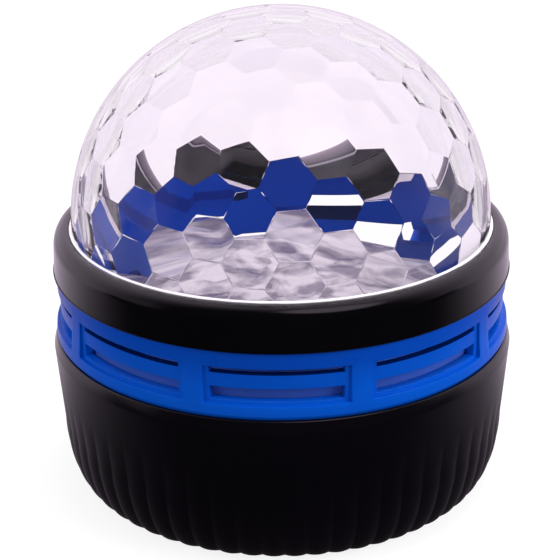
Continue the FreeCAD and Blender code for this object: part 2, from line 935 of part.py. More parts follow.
def reflector_deck():
    radius = ring_inner_radius - deck_edge_gap
    rim_top_z = ledge_z + deck_rim_height
    deck = turned(
        [
            (0, ledge_z),
            (radius, ledge_z),
            (radius, rim_top_z),
            (radius - deck_rim_width, rim_top_z),
            (radius - deck_rim_width - deck_slope_run, deck_top_z),
            (0, deck_top_z),
        ]
    )
    for x, y in post_places():
        deck = deck.fuse(cylinder(post_radius, gearbox_top_z, ledge_z, x, y))
    under_z = ledge_z - cut_overrun
    over_z = deck_top_z + cut_overrun
    pilot_radius = small_screw_radius + press_gap
    pilot_top_z = gearbox_top_z + small_screw_length
    deck = drilled(deck, pilot_radius, gearbox_top_z, pilot_top_z, post_places())
    deck = drilled(deck, screw_radius + hole_gap, under_z, over_z, deck_boss_places())
    deck = drilled(deck, idler_pin_radius + press_gap, under_z, ledge_z + idler_pin_seat, train_places()[1:3])
    deck = drilled(deck, pilot_radius, under_z, over_z, led_screw_places())
    deck = drilled(deck, bush_radius + press_gap, under_z, over_z, train_places()[:1])
    slot = block(
        (lead_slot_radius - lead_slot_width / 2, -lead_slot_length / 2, under_z),
        (lead_slot_radius + lead_slot_width / 2, lead_slot_length / 2, over_z),
    )
    return deck.cut(about_z(slot, lead_slot_turn))


def deck_screws():
    return [shell_screw(x, y, deck_top_z, up=False) for x, y in deck_boss_places()]


def shaft_bush():
    top_z = deck_top_z + bush_flange_thickness
    bush = cylinder(bush_radius, ledge_z, deck_top_z)
    bush = bush.fuse(cylinder(bush_flange_radius, deck_top_z, top_z))
    return bush.cut(cylinder(shaft_radius + running_gap, ledge_z - cut_overrun, top_z + cut_overrun))


def wheel_shaft():
    shaft = cylinder(shaft_radius, gearbox_low_z, shaft_top_z)
    hole_z = wheel_top_z - screw_length
    return shaft.cut(cylinder(screw_radius + press_gap, hole_z, shaft_top_z + cut_overrun))


def pattern_wheel():
    rim_low_z = wheel_top_z - wheel_rim_depth
    hub_low_z = wheel_top_z - wheel_hub_depth
    wheel = turned(
        [
            (0, hub_low_z),
            (wheel_hub_radius, hub_low_z),
            (wheel_hub_radius, wheel_low_z),
            (wheel_radius - wheel_rim_width, wheel_low_z),
            (wheel_radius - wheel_rim_width, rim_low_z),
            (wheel_radius, rim_low_z),
            (wheel_radius, wheel_top_z),
            (0, wheel_top_z),
        ]
    )
    ball_radius = (bump_radius**2 + bump_height**2) / (2 * bump_height)
    ball_z = wheel_top_z + bump_height - ball_radius
    over_z = wheel_top_z + bump_height + cut_overrun
    above = cylinder(wheel_radius, wheel_top_z - wheel_web / 2, over_z)
    for radius, count in zip(bump_ring_radii, bump_ring_counts):
        for x, y in ring_places(radius, count, 0):
            ball = Part.makeSphere(ball_radius, FreeCAD.Vector(x, y, ball_z))
            wheel = wheel.fuse(ball.common(above))
    wheel = wheel.cut(cylinder(screw_radius + hole_gap, shaft_top_z - cut_overrun, over_z))
    return wheel.cut(cylinder(shaft_radius + press_gap, hub_low_z - cut_overrun, shaft_top_z))


def wheel_screw():
    return shell_screw(0, 0, wheel_top_z, up=False)


# The light board


def led_screw_places():
    return ring_places(led_screw_radius, 2, led_screw_turn)


def led_board():
    board = cylinder(led_board_radius, deck_top_z, led_top_z)
    board = board.cut(cylinder(led_board_bore, deck_top_z - cut_overrun, led_top_z + cut_overrun))
    board = drilled(board, small_screw_radius + hole_gap, deck_top_z, led_top_z, led_screw_places())
    seat_z = led_top_z - led_board_thickness / 2
    return drilled(board, lead_radius + press_gap, seat_z, led_top_z, led_lead_starts())


def led_board_screws():
    length = led_board_thickness + deck_thickness
    sizes = (length, small_screw_radius, small_screw_head_radius, small_screw_head_height)
    return [screw(x, y, led_top_z, *sizes, False) for x, y in led_screw_places()]


def led_angle(n):
    return 360 * n / led_count


def leds(colour):
    """The packages of one colour, each a square block that faces outwards."""
    half = led_width / 2
    made = []
    for n in range(colour, led_count, led_colour_count):
        low = (led_circle_radius - half, -half, led_top_z)
        high = (led_circle_radius + half, half, led_top_z + led_height)
        made.append(about_z(block(low, high), led_angle(n)))
    return made


def led_lenses():
    low_z = led_top_z + led_height
    base_z = low_z + led_lens_base
    made = []
    for x, y in ring_places(led_circle_radius, led_count, 0):
        stem = cylinder(led_lens_radius, low_z, base_z, x, y)
        ball = Part.makeSphere(led_lens_radius, FreeCAD.Vector(x, y, base_z))
        upper = cylinder(led_lens_radius, base_z, base_z + led_lens_radius, x, y)
        made.append(stem.fuse(ball.common(upper)).removeSplitter())
    return made


# The control board


def standoff_places():
    front = (board_half_width - standoff_side_inset, board_front + standoff_front_inset)
    back_x = board_half_width - standoff_back_side_inset
    back_radius = cup_opening - standoff_radius - standoff_gap
    back = (back_x, math.sqrt(back_radius**2 - back_x**2))
    return [(side * x, y) for x, y in (front, back) for side in (-1, 1)]


def control_board():
    low = (-board_half_width, board_front, board_low_z)
    board = block(low, (board_half_width, board_radius, board_top_z))
    board = board.common(cylinder(board_radius, board_low_z, board_top_z))
    board = drilled(board, small_screw_radius + hole_gap, board_low_z, board_top_z, standoff_places())
    seat_z = board_top_z - board_thickness / 2
    return drilled(board, lead_radius + press_gap, seat_z, board_top_z, led_lead_ends() + motor_lead_ends())


def board_screws():
    length = board_thickness + board_screw_seat
    sizes = (length, small_screw_radius, small_screw_head_radius, small_screw_head_height)
    return [screw(x, y, board_top_z, *sizes, False) for x, y in standoff_places()]


def control_chip():
    x, y = -chip_side, board_front + chip_inset
    width, depth, height = chip_size
    low = (x - width / 2, y - depth / 2, board_top_z)
    return block(low, (x + width / 2, y + depth / 2, board_top_z + height))


def capacitor():
    x, y = capacitor_side, board_front + capacitor_inset
    can = cylinder(capacitor_radius, board_top_z, board_top_z + capacitor_height, x, y)
    middle_z = board_top_z + capacitor_height / 2
    top = [edge for edge in can.Edges if edge.Closed and edge.BoundBox.ZMin > middle_z]
    return can.makeFillet(capacitor_round, top)


def power_socket():
    front_y = cup_floor_radius + socket_reach
    half = socket_width / 2
    low = (-half, front_y - socket_depth, board_top_z)
    shell = block(low, (half, front_y, board_top_z + socket_height))
    hollow = block(
        (-half + socket_wall, low[1] + socket_floor, board_top_z + socket_wall),
        (half - socket_wall, front_y + cut_overrun, board_top_z + socket_height - socket_wall),
    )
    return shell.cut(hollow)


def power_socket_tongue():
    start_y = cup_floor_radius + socket_reach - socket_depth + socket_floor
    half = tongue_width / 2
    low = (-half, start_y, socket_axis_z - tongue_height / 2)
    return block(low, (half, start_y + tongue_length, socket_axis_z + tongue_height / 2))


# The mode button, drawn along +Y and turned to its place


def at_button(shape):
    return about_z(shape, -button_turn)


def along_button(radius, start, end):
    """A round bar on the button's axis between two distances from the middle of the light."""
    foot = FreeCAD.Vector(0, start, switch_axis_z)
    return at_button(Part.makeCylinder(radius, end - start, foot, FreeCAD.Vector(0, 1, 0)))


def switch_body():
    half = switch_width / 2
    low = (-half, switch_place - switch_depth, board_top_z)
    body = at_button(block(low, (half, switch_place, board_top_z + switch_height)))
    bore_start = switch_place - plunger_seat - button_travel - hub_play
    return body.cut(along_button(plunger_radius + button_gap, bore_start, switch_place + cut_overrun))


def switch_plunger():
    return along_button(plunger_radius, switch_place - plunger_seat, switch_place + plunger_proud)


def mode_button():
    tip = switch_place + plunger_proud
    flange = tip + button_stem_length
    cap = flange + button_flange_thickness
    end = ridge_radius(switch_axis_z) + button_proud
    button = along_button(button_stem_radius, tip, flange)
    button = button.fuse(along_button(button_flange_radius, flange, cap))
    button = button.fuse(along_button(button_radius - button_round, cap, end))
    button = button.fuse(along_button(button_radius, cap, end - button_round))
    return button.removeSplitter()


# The leads


def lead(points):
    """A round lead along straight runs joined by arcs."""
    points = [FreeCAD.Vector(*p) for p in points]
    edges = []
    start = points[0]
    for before, corner, after in zip(points, points[1:], points[2:]):
        back, on = unit(before - corner), unit(after - corner)
        half = back.getAngle(on) / 2
        room = min((before - corner).Length, (after - corner).Length) / 2
        bend = min(lead_bend, room * math.tan(half))
        reach = bend / math.tan(half)
        centre = corner + unit(back + on) * (bend / math.sin(half))
        middle = centre + unit(corner - centre) * bend
        first, last = corner + back * reach, corner + on * reach
        if (first - start).Length > press_gap:
            edges.append(Part.makeLine(start, first))
        edges.append(Part.Arc(first, middle, last).toShape())
        start = last
    edges.append(Part.makeLine(start, points[-1]))
    path = Part.Wire(edges)
    ring = Part.Wire(Part.Circle(points[0], points[1] - points[0], lead_radius).toShape())
    return path.makePipeShell([ring], True, True)


def spread(n, count):
    return (n - (count - 1) / 2) * lead_spacing


def turned_place(x, y, degrees):
    cos, sin = math.cos(math.radians(degrees)), math.sin(math.radians(degrees))
    return x * cos - y * sin, x * sin + y * cos


def led_lead_starts():
    rows = [spread(n, led_lead_count) for n in range(led_lead_count)]
    return [turned_place(led_pad_radius, row, lead_slot_turn) for row in rows]


def led_lead_ends():
    side_inset, front_inset = led_lead_end_insets
    x, y = board_half_width - side_inset, board_front + front_inset
    return [(x, y + spread(n, led_lead_count)) for n in range(led_lead_count)]


def led_leads():
    made = []
    for n in range(led_lead_count):
        start, end = led_lead_starts()[n], led_lead_ends()[n]
        slot = turned_place(lead_slot_radius, spread(n, led_lead_count), lead_slot_turn)
        high_z = led_top_z + led_lead_hump
        low_z = board_top_z + led_lead_low
        made.append(
            lead(
                [
                    (*start, led_top_z - led_board_thickness / 2),
                    (*start, high_z),
                    (*slot, high_z),
                    (*slot, low_z),
                    (*end, low_z),
                    (*end, board_top_z - board_thickness / 2),
                ]
            )
        )
    return made


def motor_lead_starts():
    x, y = train_places()[3]
    dx, dy = motor_lead_start
    return [(x + dx, y + dy), (x + dx + lead_spacing, y + dy)]


def motor_lead_ends():
    y = board_front + motor_pad_inset
    return [(x, y) for x, _ in motor_lead_starts()]


def motor_leads():
    made = []
    low_z = board_top_z + motor_lead_low
    top_z = gearbox_low_z - motor_height + motor_cap_height / 2
    end_z = board_top_z - board_thickness / 2
    for start, end in zip(motor_lead_starts(), motor_lead_ends()):
        made.append(lead([(*start, top_z), (*start, low_z), (*end, low_z), (*end, end_z)]))
    return made


single_pieces = {
    "dome": dome,
    "collar_ring": collar_ring,
    "vent_ring": vent_ring,
    "base_shell": base_shell,
    "bottom_plate": bottom_plate,
    "pattern_wheel": pattern_wheel,
    "wheel_screw": wheel_screw,
    "wheel_shaft": wheel_shaft,
    "shaft_bush": shaft_bush,
    "output_gear": output_gear,
    "slow_idler": slow_idler,
    "fast_idler": fast_idler,
    "motor_pinion": motor_pinion,
    "motor_shaft": motor_shaft,
    "motor_can": motor_can,
    "motor_end_cap": motor_end_cap,
    "gearbox_plate": gearbox_plate,
    "reflector_deck": reflector_deck,
    "led_board": led_board,
    "control_board": control_board,
    "control_chip": control_chip,
    "capacitor": capacitor,
    "power_socket": power_socket,
    "power_socket_tongue": power_socket_tongue,
    "switch_body": switch_body,
    "switch_plunger": switch_plunger,
    "mode_button": mode_button,
}
grouped_pieces = {
    "rubber_feet": rubber_feet,
    "bottom_screws": bottom_screws,
    "deck_screws": deck_screws,
    "gearbox_screws": gearbox_screws,
    "motor_screws": motor_screws,
    "idler_pins": idler_pins,
    "led_board_screws": led_board_screws,
    "board_screws": board_screws,
    "led_lenses": led_lenses,
    "led_leads": led_leads,
    "motor_leads": motor_leads,
    "red_leds": lambda: leds(0),
    "green_leds": lambda: leds(1),
    "blue_leds": lambda: leds(2),
}


def main():
    os.makedirs("parts", exist_ok=True)
    for name, make in single_pieces.items():
        make().exportStep("parts/" + name + ".step")
    for name, make in grouped_pieces.items():
        Part.makeCompound(make()).exportStep("parts/" + name + ".step")


main()
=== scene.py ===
import itertools
import json
import math

import bmesh
import bpy
from mathutils import Matrix, Vector, noise

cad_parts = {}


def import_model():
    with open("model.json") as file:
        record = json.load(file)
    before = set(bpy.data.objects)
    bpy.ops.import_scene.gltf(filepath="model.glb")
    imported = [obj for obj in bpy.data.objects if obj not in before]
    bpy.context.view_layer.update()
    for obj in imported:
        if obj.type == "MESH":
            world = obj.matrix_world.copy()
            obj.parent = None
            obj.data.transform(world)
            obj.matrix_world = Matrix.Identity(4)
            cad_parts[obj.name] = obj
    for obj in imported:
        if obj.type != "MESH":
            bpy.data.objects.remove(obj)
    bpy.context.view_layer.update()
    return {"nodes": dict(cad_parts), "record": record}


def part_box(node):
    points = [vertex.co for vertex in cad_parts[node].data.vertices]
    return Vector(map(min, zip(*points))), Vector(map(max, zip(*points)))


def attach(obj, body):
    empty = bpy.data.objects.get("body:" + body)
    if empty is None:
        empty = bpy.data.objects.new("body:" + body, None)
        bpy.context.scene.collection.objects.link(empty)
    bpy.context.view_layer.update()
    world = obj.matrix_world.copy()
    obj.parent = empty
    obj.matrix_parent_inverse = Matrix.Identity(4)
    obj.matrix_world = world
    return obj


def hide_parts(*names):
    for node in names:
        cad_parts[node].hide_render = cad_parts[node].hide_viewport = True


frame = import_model()

# A magic ball light. The shells, the dome and the wheel are drawn here.
# The rest are the frame's own nodes.
# Lengths are in metres, in the frame's space: +Z is up and the front faces -Y.

# Camera, as measured in the photograph
PHOTO_SIDE = 560
FOCAL_PIXELS = 1803.8
SENSOR_WIDTH_MM = 36.0
CAMERA_DISTANCE = 0.360
CAMERA_ELEVATION = 22.91
CAMERA_ROLL = -0.65
AIM_HEIGHT = 0.0408
AIM_SIDE = -0.0003
CAMERA_CLIP = 0.01

# Places from the frame, in which the cup's floor lies on the bottom plate
PLATE_THICKNESS = 0.0018
EDGE_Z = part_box("base_shell")[0].z
RIM_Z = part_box("base_shell")[1].z
COLLAR_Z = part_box("collar_ring")[0].z
COLLAR_TOP_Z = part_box("collar_ring")[1].z
SPIGOT_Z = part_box("vent_ring")[0].z
FLANGE_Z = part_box("vent_ring")[1].z
DOME_TOP_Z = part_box("dome")[1].z
DOME_FLANGE_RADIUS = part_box("dome")[1].x
WHEEL_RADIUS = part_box("pattern_wheel")[1].x
WHEEL_HUB_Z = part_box("pattern_wheel")[0].z
WHEEL_PEAK_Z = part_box("pattern_wheel")[1].z
PLATE_TOP_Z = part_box("base_shell")[0].z + PLATE_THICKNESS
SOCKET_Z = (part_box("power_socket")[0].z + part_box("power_socket")[1].z) / 2
BUTTON_Z = (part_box("mode_button")[0].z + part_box("mode_button")[1].z) / 2

# Shared by the shells
BODY_RADIUS = 0.045
COLUMNS = 240
ROUND_STEPS = 4
SMOOTH_ANGLE = 38
ROD_COLUMNS = 64
BOSS_COLUMNS = 32
BOSS_OVERLAP = 0.0002
CUT_OVERRUN = 0.002
CUT_START_RADIUS = 0.030
FLANGE_THICKNESS = 0.0016

# Cup
CUP_BULGE = 0.0006
CUP_TAPER = 0.0007
CUP_EDGE_INSET = 0.0063
CUP_BULGE_DROP = 0.0022
CUP_ROUND_HEIGHT = 0.0136
CUP_RIM_ROUND = 0.0005
FLUTE_COUNT = 60
FLUTE_COLUMNS = 14
FLUTE_DROP = 0.0098
FLUTE_DEPTH = 0.0006
FLUTE_FADE_SHARE = 0.85
FLUTE_ROWS = 40
CUP_WALL = 0.0020
CUP_LOWER_WALL = 0.0038
CUP_FLOOR_INSET = 0.0068
CUP_FLOOR_THICKNESS = 0.0020
CUP_SKIRT_WIDTH = 0.0035
CUP_OPENING_INSET = 0.0042
CUP_SLOPE_RISE = 0.0037
CUP_SLOPE_RUN = 0.0022
CUP_BORE_RISE = 0.0077
BOSS_RADIUS = 0.0026
BOSS_HEIGHT = 0.0042
BOSS_RING = 0.03305
BOSS_COUNT = 4
BOSS_TURN = 45
CUP_SMOOTH_ANGLE = 30
SOCKET_WINDOW = (0.0115, 0.0064)
SOCKET_PAD_MARGIN = 0.0020
SOCKET_PAD_INSET = 0.0030
BUTTON_TURN = 28.0
BUTTON_HOLE = 0.00312
BUTTON_PAD_RADIUS = 0.0045
BUTTON_PAD_INSET = 0.0024

# Vented ring
WINDOW_COUNT = 9
WINDOW_SPAN = 35.0
SLOT_SPAN = 32.2
WINDOW_TURN = -1.4
WINDOW_DEPTH = 0.0005
WINDOW_LOW_RISE = 0.0027
WINDOW_HIGH_RISE = 0.0099
SLOT_RISES = (0.0034, 0.0059, 0.0086, 0.0097)
RING_LIP_INSET = 0.00005
RING_EDGE_INSET = 0.0005
RING_EDGE_CHAMFER = 0.0008
RING_MID_RISE = 0.0070
RING_MID_INSET = 0.00055
RING_TOP_INSET = 0.0007
RING_INNER_INSET = 0.0028
RING_SEAT_INSET = 0.0021
RING_THROAT_INSET = 0.0044
RING_SLOPE_DROP = 0.0015
RING_LEDGE_INSET = 0.0066
RING_LEDGE_RISE = 0.0010
RING_LEDGE_DROP = 0.0006
SPIGOT_INNER_INSET = 0.0041
SPIGOT_OUTER_INSET = 0.00215
RING_ROUND = 0.00025
RING_ROUND_STEPS = 3
RING_ROUND_ANGLE = 35
RING_WELD = 0.000002
COLUMN_GAP = 0.6
SLOT_SHADE_REACH = 0.0001
SLOT_SHADE_SLOPE = 0.3
DECK_BOSS_RADIUS = 0.0030
DECK_BOSS_RING = 0.0360
DECK_BOSS_COUNT = 3
DECK_BOSS_TURN = 30
DECK_BOSS_DROP = 0.0060
DECK_BOSS_RISE = 0.0009

# Collar
COLLAR_FLARE = 0.00015
COLLAR_CHAMFER = 0.0004
COLLAR_SHOULDER_INSET = 0.00035
COLLAR_SHOULDER_DROP = 0.0030
COLLAR_LAND = 0.0005
COLLAR_ROWS = 16
COLLAR_GAP = 0.00015
COLLAR_MOUTH_ROUND = 0.00015
COLLAR_SMOOTH_ANGLE = 50

# Dome and its facets
DOME_WALL = 0.0024
COLLAR_MOUTH_INSET = 0.00335
DOME_INSET = 0.0006
DOME_GAP = 0.00015
BEAD_RISE = 0.0002
EDGE_TOLERANCE = 1.05
FACET_LONG_COUNT = 4
FACET_SHORT_COUNT = 2
FACET_EVEN_ROUNDS = 60
FACET_TURN = (11.1, 9.8, -22.9)
FACET_REACH_SHARE = 1.4
FACET_ROUND = 0.00012
FACET_ROUND_STEPS = 2
FACET_WELD = 0.00002
FACET_FOOT_DEPTH = 0.002
SAME_PLACE = 0.001
DOME_SMOOTH_ANGLE = 3
DOME_COLUMNS = 192
DOME_ROWS = 64

# Wheel
WHEEL_TOP_DROP = 0.0009
WHEEL_SCREW_BORE = 0.0012
WHEEL_SHAFT_BORE = 0.00152
WHEEL_SHAFT_STOP = 0.0015
WHEEL_WEB = 0.0025
WHEEL_RIM_WIDTH = 0.0020
WHEEL_RIM_DEPTH = 0.0042
WHEEL_HUB_RADIUS = 0.0050
WHEEL_RINGS = 90
WHEEL_COLUMNS = 300
WHEEL_SMOOTH_ANGLE = 40
ICE_SEED = 1
ICE_SCALE = 190.0
ICE_BEND_SHARE = 0.5
ICE_BEND = 0.45
ICE_LEAN_SCALE = 7.3
ICE_LEAN = 0.9
ICE_FINE_SCALE = 2.3
ICE_FINE = 0.12
ICE_HUB_RADIUS = 0.0030
ICE_EDGE_WIDTH = 0.0015

# Textures of the materials: scales of their noise, depths of their bumps and ends of their ramps
RAMP_ENDS = (0.3, 0.7)
BROAD_SCALE = 60
GLOSS_SCALE = 140
GRAIN_SCALE = 2600
GRAIN_STRENGTH = 0.5
LINE_STRETCH = (1, 1, 40)
LINE_SCALE = 300
LINE_SHADES = (0.8, 1.1)
LINE_GLOSS_SHARE = 0.3
LINE_DEPTH = 0.00001
LINE_STRENGTH = 0.4
FLOW_STRETCH = (1, 1, 0.5)
FLOW_ENDS = (0.35, 0.65)
FLOW_SHADE = 0.985
FLOW_DEPTH = 0.00001
FLOW_STRENGTH = 0.3
CRUSH_BEND_SCALE = 160
CRUSH_BEND = (0.006, 0.006, 0.006)
CRUSH_CELL_SCALE = 420
CRUSH_DEPTH = 0.0003
CRUSH_STRENGTH = 0.8
CLOUD_SCALE = 240
CLOUD_ENDS = (0.40, 0.56)
CLOUD_GLOSS_SCALE = 300
CLOUD_GLOSS = (0.125, 0.075)
CLOUD_CLEARNESS = 0.45
CLOUD_IOR = 1.45
SHELL_SCALE = 90
SHELL_UNEVENNESS = 0.25
SHELL_LOW_SHADE = 0.92
SHELL_ENDS = (0.0, 0.55, 0.95)
SHELL_GLOSS = (0.3, 0.05)
SHELL_GRAIN = 0.000006
SHELL_SPECULAR = 0.1
LED_SCALE = 900
LED_ENDS = (0.35, 0.65)
LED_SHADE = 0.8
LED_ROUGHNESS = 0.3
TRACK_SCALE = 380
TRACK_ENDS = (0.04, 0.08)
TRACK_GLOSS_SCALE = 500
TRACK_GLOSS = (0.325, 0.075)
TRACK_DEPTH = 0.00002
TRACK_STRENGTH = 0.4

# Sockets of a Mix node by number, because those for numbers and for colours share their names
MIX_A = 2
MIX_B = 3
MIX_COLOUR_A = 6
MIX_COLOUR_B = 7
MIX_COLOUR_RESULT = 2

# Floor, room and lamps. A softbox has a place, a size and a power in watts.
# A panel is a light patch that reflections show in the room: its direction, the cosines of the angles
# from it where it begins and where it is full, and its level.
FLOOR_REACH = 4.0
LIGHT_BOUNCES = 24
FLOOR_ALBEDO = 0.22
FLOOR_ROUGHNESS = 0.9
FLOOR_GLOW = 0.84
ROOM_LIGHT = 0.55
DARK_REFLECTION = 0.02
LIGHT_REFLECTION = 0.8
# This level, with DARK_FLOOR_REACH and LIGHT_FLOOR_REACH, sets a painted shadow of the light in the floor's
# reflections.
SHADOW_REFLECTION = 0.5
INNER_REFLECTION = 0.3
LIGHT_ROOM = 1.0
DARK_FLOOR_Y = -0.07
LIGHT_FLOOR_Y = 0.09
DARK_FLOOR_REACH = 0.058
LIGHT_FLOOR_REACH = 0.092
DARK_ROOM_Y = -0.5
LIGHT_ROOM_Y = 0.5
REFLECTION_TINT = (1.0, 0.84, 1.03)
PANELS = (
    ((0.30, -0.36, 0.88), 0.93, 0.97, 1.3),
    ((-0.98, -0.05, 0.18), 0.86, 0.96, 0.3),
)
SOFTBOXES = {
    "left_box": ((-0.50, -0.25, 0.30), (0.35, 0.45), 1.4),
    "right_box": ((0.50, -0.25, 0.30), (0.35, 0.45), 2.7),
    "top_box": ((0.10, 0.05, 0.70), (0.40, 0.40), 2.8),
}

collar_mouth_radius = BODY_RADIUS - COLLAR_MOUTH_INSET
dome_radius = collar_mouth_radius - DOME_INSET
dome_centre_z = DOME_TOP_Z - dome_radius
facet_distance = dome_radius - DOME_WALL


# Materials, each a Principled shader fed by procedural textures


class Nodes:
    """The nodes of a material or a world, and short ways to add to them."""

    def __init__(self, owner):
        owner.use_nodes = True
        self.owner = owner
        self.tree = owner.node_tree
        self.shader = self.tree.nodes.get("Principled BSDF")

    def give(self, node, sockets):
        """Sets a node's inputs, by name or number, to numbers, colours or other nodes' outputs."""
        for key, value in sockets.items():
            if isinstance(value, bpy.types.NodeSocket):
                self.tree.links.new(value, node.inputs[key])
            else:
                node.inputs[key].default_value = value

    def add(self, kind, sockets=(), **settings):
        """A new node with its inputs and settings."""
        node = self.tree.nodes.new(kind)
        for key, value in settings.items():
            setattr(node, key, value)
        self.give(node, dict(sockets))
        return node

    def place(self, stretch=(1, 1, 1)):
        """Object coordinates, stretched."""
        coordinates = self.add("ShaderNodeTexCoord")
        mapping = self.add("ShaderNodeMapping", {"Vector": coordinates.outputs["Object"], "Scale": stretch})
        return mapping.outputs["Vector"]

    def part(self, vector, axis):
        """One coordinate of a vector."""
        return self.add("ShaderNodeSeparateXYZ", {0: vector}).outputs[axis]

    def noise(self, place, scale, detail=4.0):
        texture = self.add("ShaderNodeTexNoise", {"Vector": place, "Scale": scale, "Detail": detail})
        return texture.outputs["Fac"]

    def math(self, operation, *values, **settings):
        """The result of a sum, a product and so on."""
        node = self.add("ShaderNodeMath", dict(enumerate(values)), operation=operation, **settings)
        return node.outputs["Value"]

    def without(self, value, other):
        """One value less another, and not below zero."""
        return self.math("SUBTRACT", value, other, use_clamp=True)

    def change(self, value, start, end, low, high, how="SMOOTHSTEP"):
        """Goes from low to high while the value goes from start to end."""
        sockets = {"Value": value, "From Min": start, "From Max": end, "To Min": low, "To Max": high}
        return self.add("ShaderNodeMapRange", sockets, interpolation_type=how).outputs["Result"]

    def mix(self, factor, first, second):
        """The first value where the factor is 0 and the second where it is 1."""
        sockets = {"Factor": factor, MIX_A: first, MIX_B: second}
        return self.add("ShaderNodeMix", sockets, data_type="FLOAT").outputs["Result"]

    def ramp(self, value, stops):
        """A colour or grey that changes along value. stops is a list of (place, colour)."""
        ramp = self.add("ShaderNodeValToRGB", {"Fac": value})
        elements = ramp.color_ramp.elements
        while len(elements) < len(stops):
            elements.new(0.5)
        for element, (where, colour) in zip(elements, stops):
            element.position = where
            element.color = (*colour, 1)
        return ramp.outputs["Color"]

    def colour(self, value, colours, ends=RAMP_ENDS):
        """Gives the Principled shader a colour that changes along value."""
        self.give(self.shader, {"Base Color": self.ramp(value, list(zip(ends, colours)))})

    def gloss(self, value, roughness, spread):
        """Gives the Principled shader a roughness that changes along value, by spread up and down."""
        greys = [grey(roughness - spread), grey(roughness + spread)]
        self.give(self.shader, {"Roughness": self.ramp(value, list(zip(RAMP_ENDS, greys)))})

    def bump(self, height, distance, strength):
        bump = self.add("ShaderNodeBump", {"Height": height, "Distance": distance, "Strength": strength})
        self.give(self.shader, {"Normal": bump.outputs["Normal"]})

    def finished(self, surface=None, **sockets):
        """The material, with the rest of the Principled shader's inputs, or with a shader of its own."""
        self.give(self.shader, {key.replace("_", " "): value for key, value in sockets.items()})
        if surface is not None:
            self.give(self.tree.nodes["Material Output"], {"Surface": surface})
        return self.owner


def new_look(name):
    """The nodes of a new material."""
    return Nodes(bpy.data.materials.new(name))


def grey(value):
    return (value, value, value)


def scaled(colour, factor):
    return tuple(c * factor for c in colour)


def plastic(name, colour, roughness, spread=0.05, mottle=0.12, grain=0.00002, **sockets):
    """Moulded plastic: slightly uneven colour and gloss over a fine grain."""
    n = new_look(name)
    place = n.place()
    n.colour(n.noise(place, BROAD_SCALE), (scaled(colour, 1 - mottle), scaled(colour, 1 + mottle)))
    n.gloss(n.noise(place, GLOSS_SCALE), roughness, spread)
    n.bump(n.noise(place, GRAIN_SCALE, detail=2), grain, GRAIN_STRENGTH)
    return n.finished(**sockets)


def metal(name, colour, roughness):
    """Metal with fine turned or drawn lines."""
    n = new_look(name)
    lines = n.noise(n.place(LINE_STRETCH), LINE_SCALE, detail=3)
    n.colour(lines, [scaled(colour, shade) for shade in LINE_SHADES])
    n.gloss(lines, roughness, LINE_GLOSS_SHARE * roughness)
    n.bump(lines, LINE_DEPTH, LINE_STRENGTH)
    return n.finished(Metallic=1.0)


def clear(name, tint, shadow, flow_scale, **sockets):
    """Clear plastic with faint flow marks. Shadow rays pass, so what is under it stays lit."""
    n = new_look(name)
    flow = n.noise(n.place(FLOW_STRETCH), flow_scale, detail=2)
    n.colour(flow, (scaled(tint, FLOW_SHADE), tint), FLOW_ENDS)
    n.bump(flow, FLOW_DEPTH, FLOW_STRENGTH)
    path = n.add("ShaderNodeLightPath")
    passing = n.add("ShaderNodeBsdfTransparent", {"Color": (*shadow, 1)})
    shaders = {1: n.shader.outputs["BSDF"], 2: passing.outputs["BSDF"]}
    mix = n.add("ShaderNodeMixShader", {"Fac": path.outputs["Is Shadow Ray"], **shaders})
    return n.finished(mix.outputs["Shader"], Transmission_Weight=1.0, **sockets)


def ice(name, low, high):
    """Clear plastic with a crushed surface, which looks cloudy where it is rough."""
    n = new_look(name)
    place = n.place()
    bend = n.add("ShaderNodeTexNoise", {"Vector": place, "Scale": CRUSH_BEND_SCALE}).outputs["Color"]
    sockets = {0: bend, 1: CRUSH_BEND, 2: place}
    bent = n.add("ShaderNodeVectorMath", sockets, operation="MULTIPLY_ADD").outputs["Vector"]
    cells = n.add("ShaderNodeTexVoronoi", {"Vector": bent, "Scale": CRUSH_CELL_SCALE}, feature="F1")
    n.colour(n.noise(bent, CLOUD_SCALE, detail=6), (low, high), CLOUD_ENDS)
    n.gloss(n.noise(place, CLOUD_GLOSS_SCALE), *CLOUD_GLOSS)
    n.bump(cells.outputs["Distance"], CRUSH_DEPTH, CRUSH_STRENGTH)
    return n.finished(Transmission_Weight=CLOUD_CLEARNESS, IOR=CLOUD_IOR)


def shell(name, colour, collar_shade):
    """Blue plastic, deeper blue towards the collar, which is painted shade of the collar's shadow, and
    slightly darker at the rim.
    """
    n = new_look(name)
    place = n.place()
    # The colour follows height, with uneven tone added: the deeper blue near the collar is painted shade.
    rise = n.change(n.part(place, "Z"), RIM_Z, COLLAR_Z, 0.0, 1.0, "LINEAR")
    uneven = n.math("MULTIPLY_ADD", n.noise(place, SHELL_SCALE), SHELL_UNEVENNESS, rise)
    n.colour(uneven, (scaled(colour, SHELL_LOW_SHADE), colour, collar_shade), SHELL_ENDS)
    n.gloss(n.noise(place, GLOSS_SCALE), *SHELL_GLOSS)
    n.bump(n.noise(place, GRAIN_SCALE, detail=2), SHELL_GRAIN, GRAIN_STRENGTH)
    return n.finished(Specular_IOR_Level=SHELL_SPECULAR)


def light_source(name, colour):
    """The coloured block of a light package."""
    n = new_look(name)
    n.colour(n.noise(n.place(), LED_SCALE), (scaled(colour, LED_SHADE), colour), LED_ENDS)
    return n.finished(Roughness=LED_ROUGHNESS)


def board(name, colour, track):
    """A circuit board with faint tracks under its mask."""
    n = new_look(name)
    place = n.place()
    sockets = {"Vector": place, "Scale": TRACK_SCALE}
    cells = n.add("ShaderNodeTexVoronoi", sockets, feature="DISTANCE_TO_EDGE", distance="MANHATTAN")
    n.colour(cells.outputs["Distance"], (track, colour), TRACK_ENDS)
    n.gloss(n.noise(place, TRACK_GLOSS_SCALE), *TRACK_GLOSS)
    n.bump(cells.outputs["Distance"], TRACK_DEPTH, TRACK_STRENGTH)
    return n.finished()


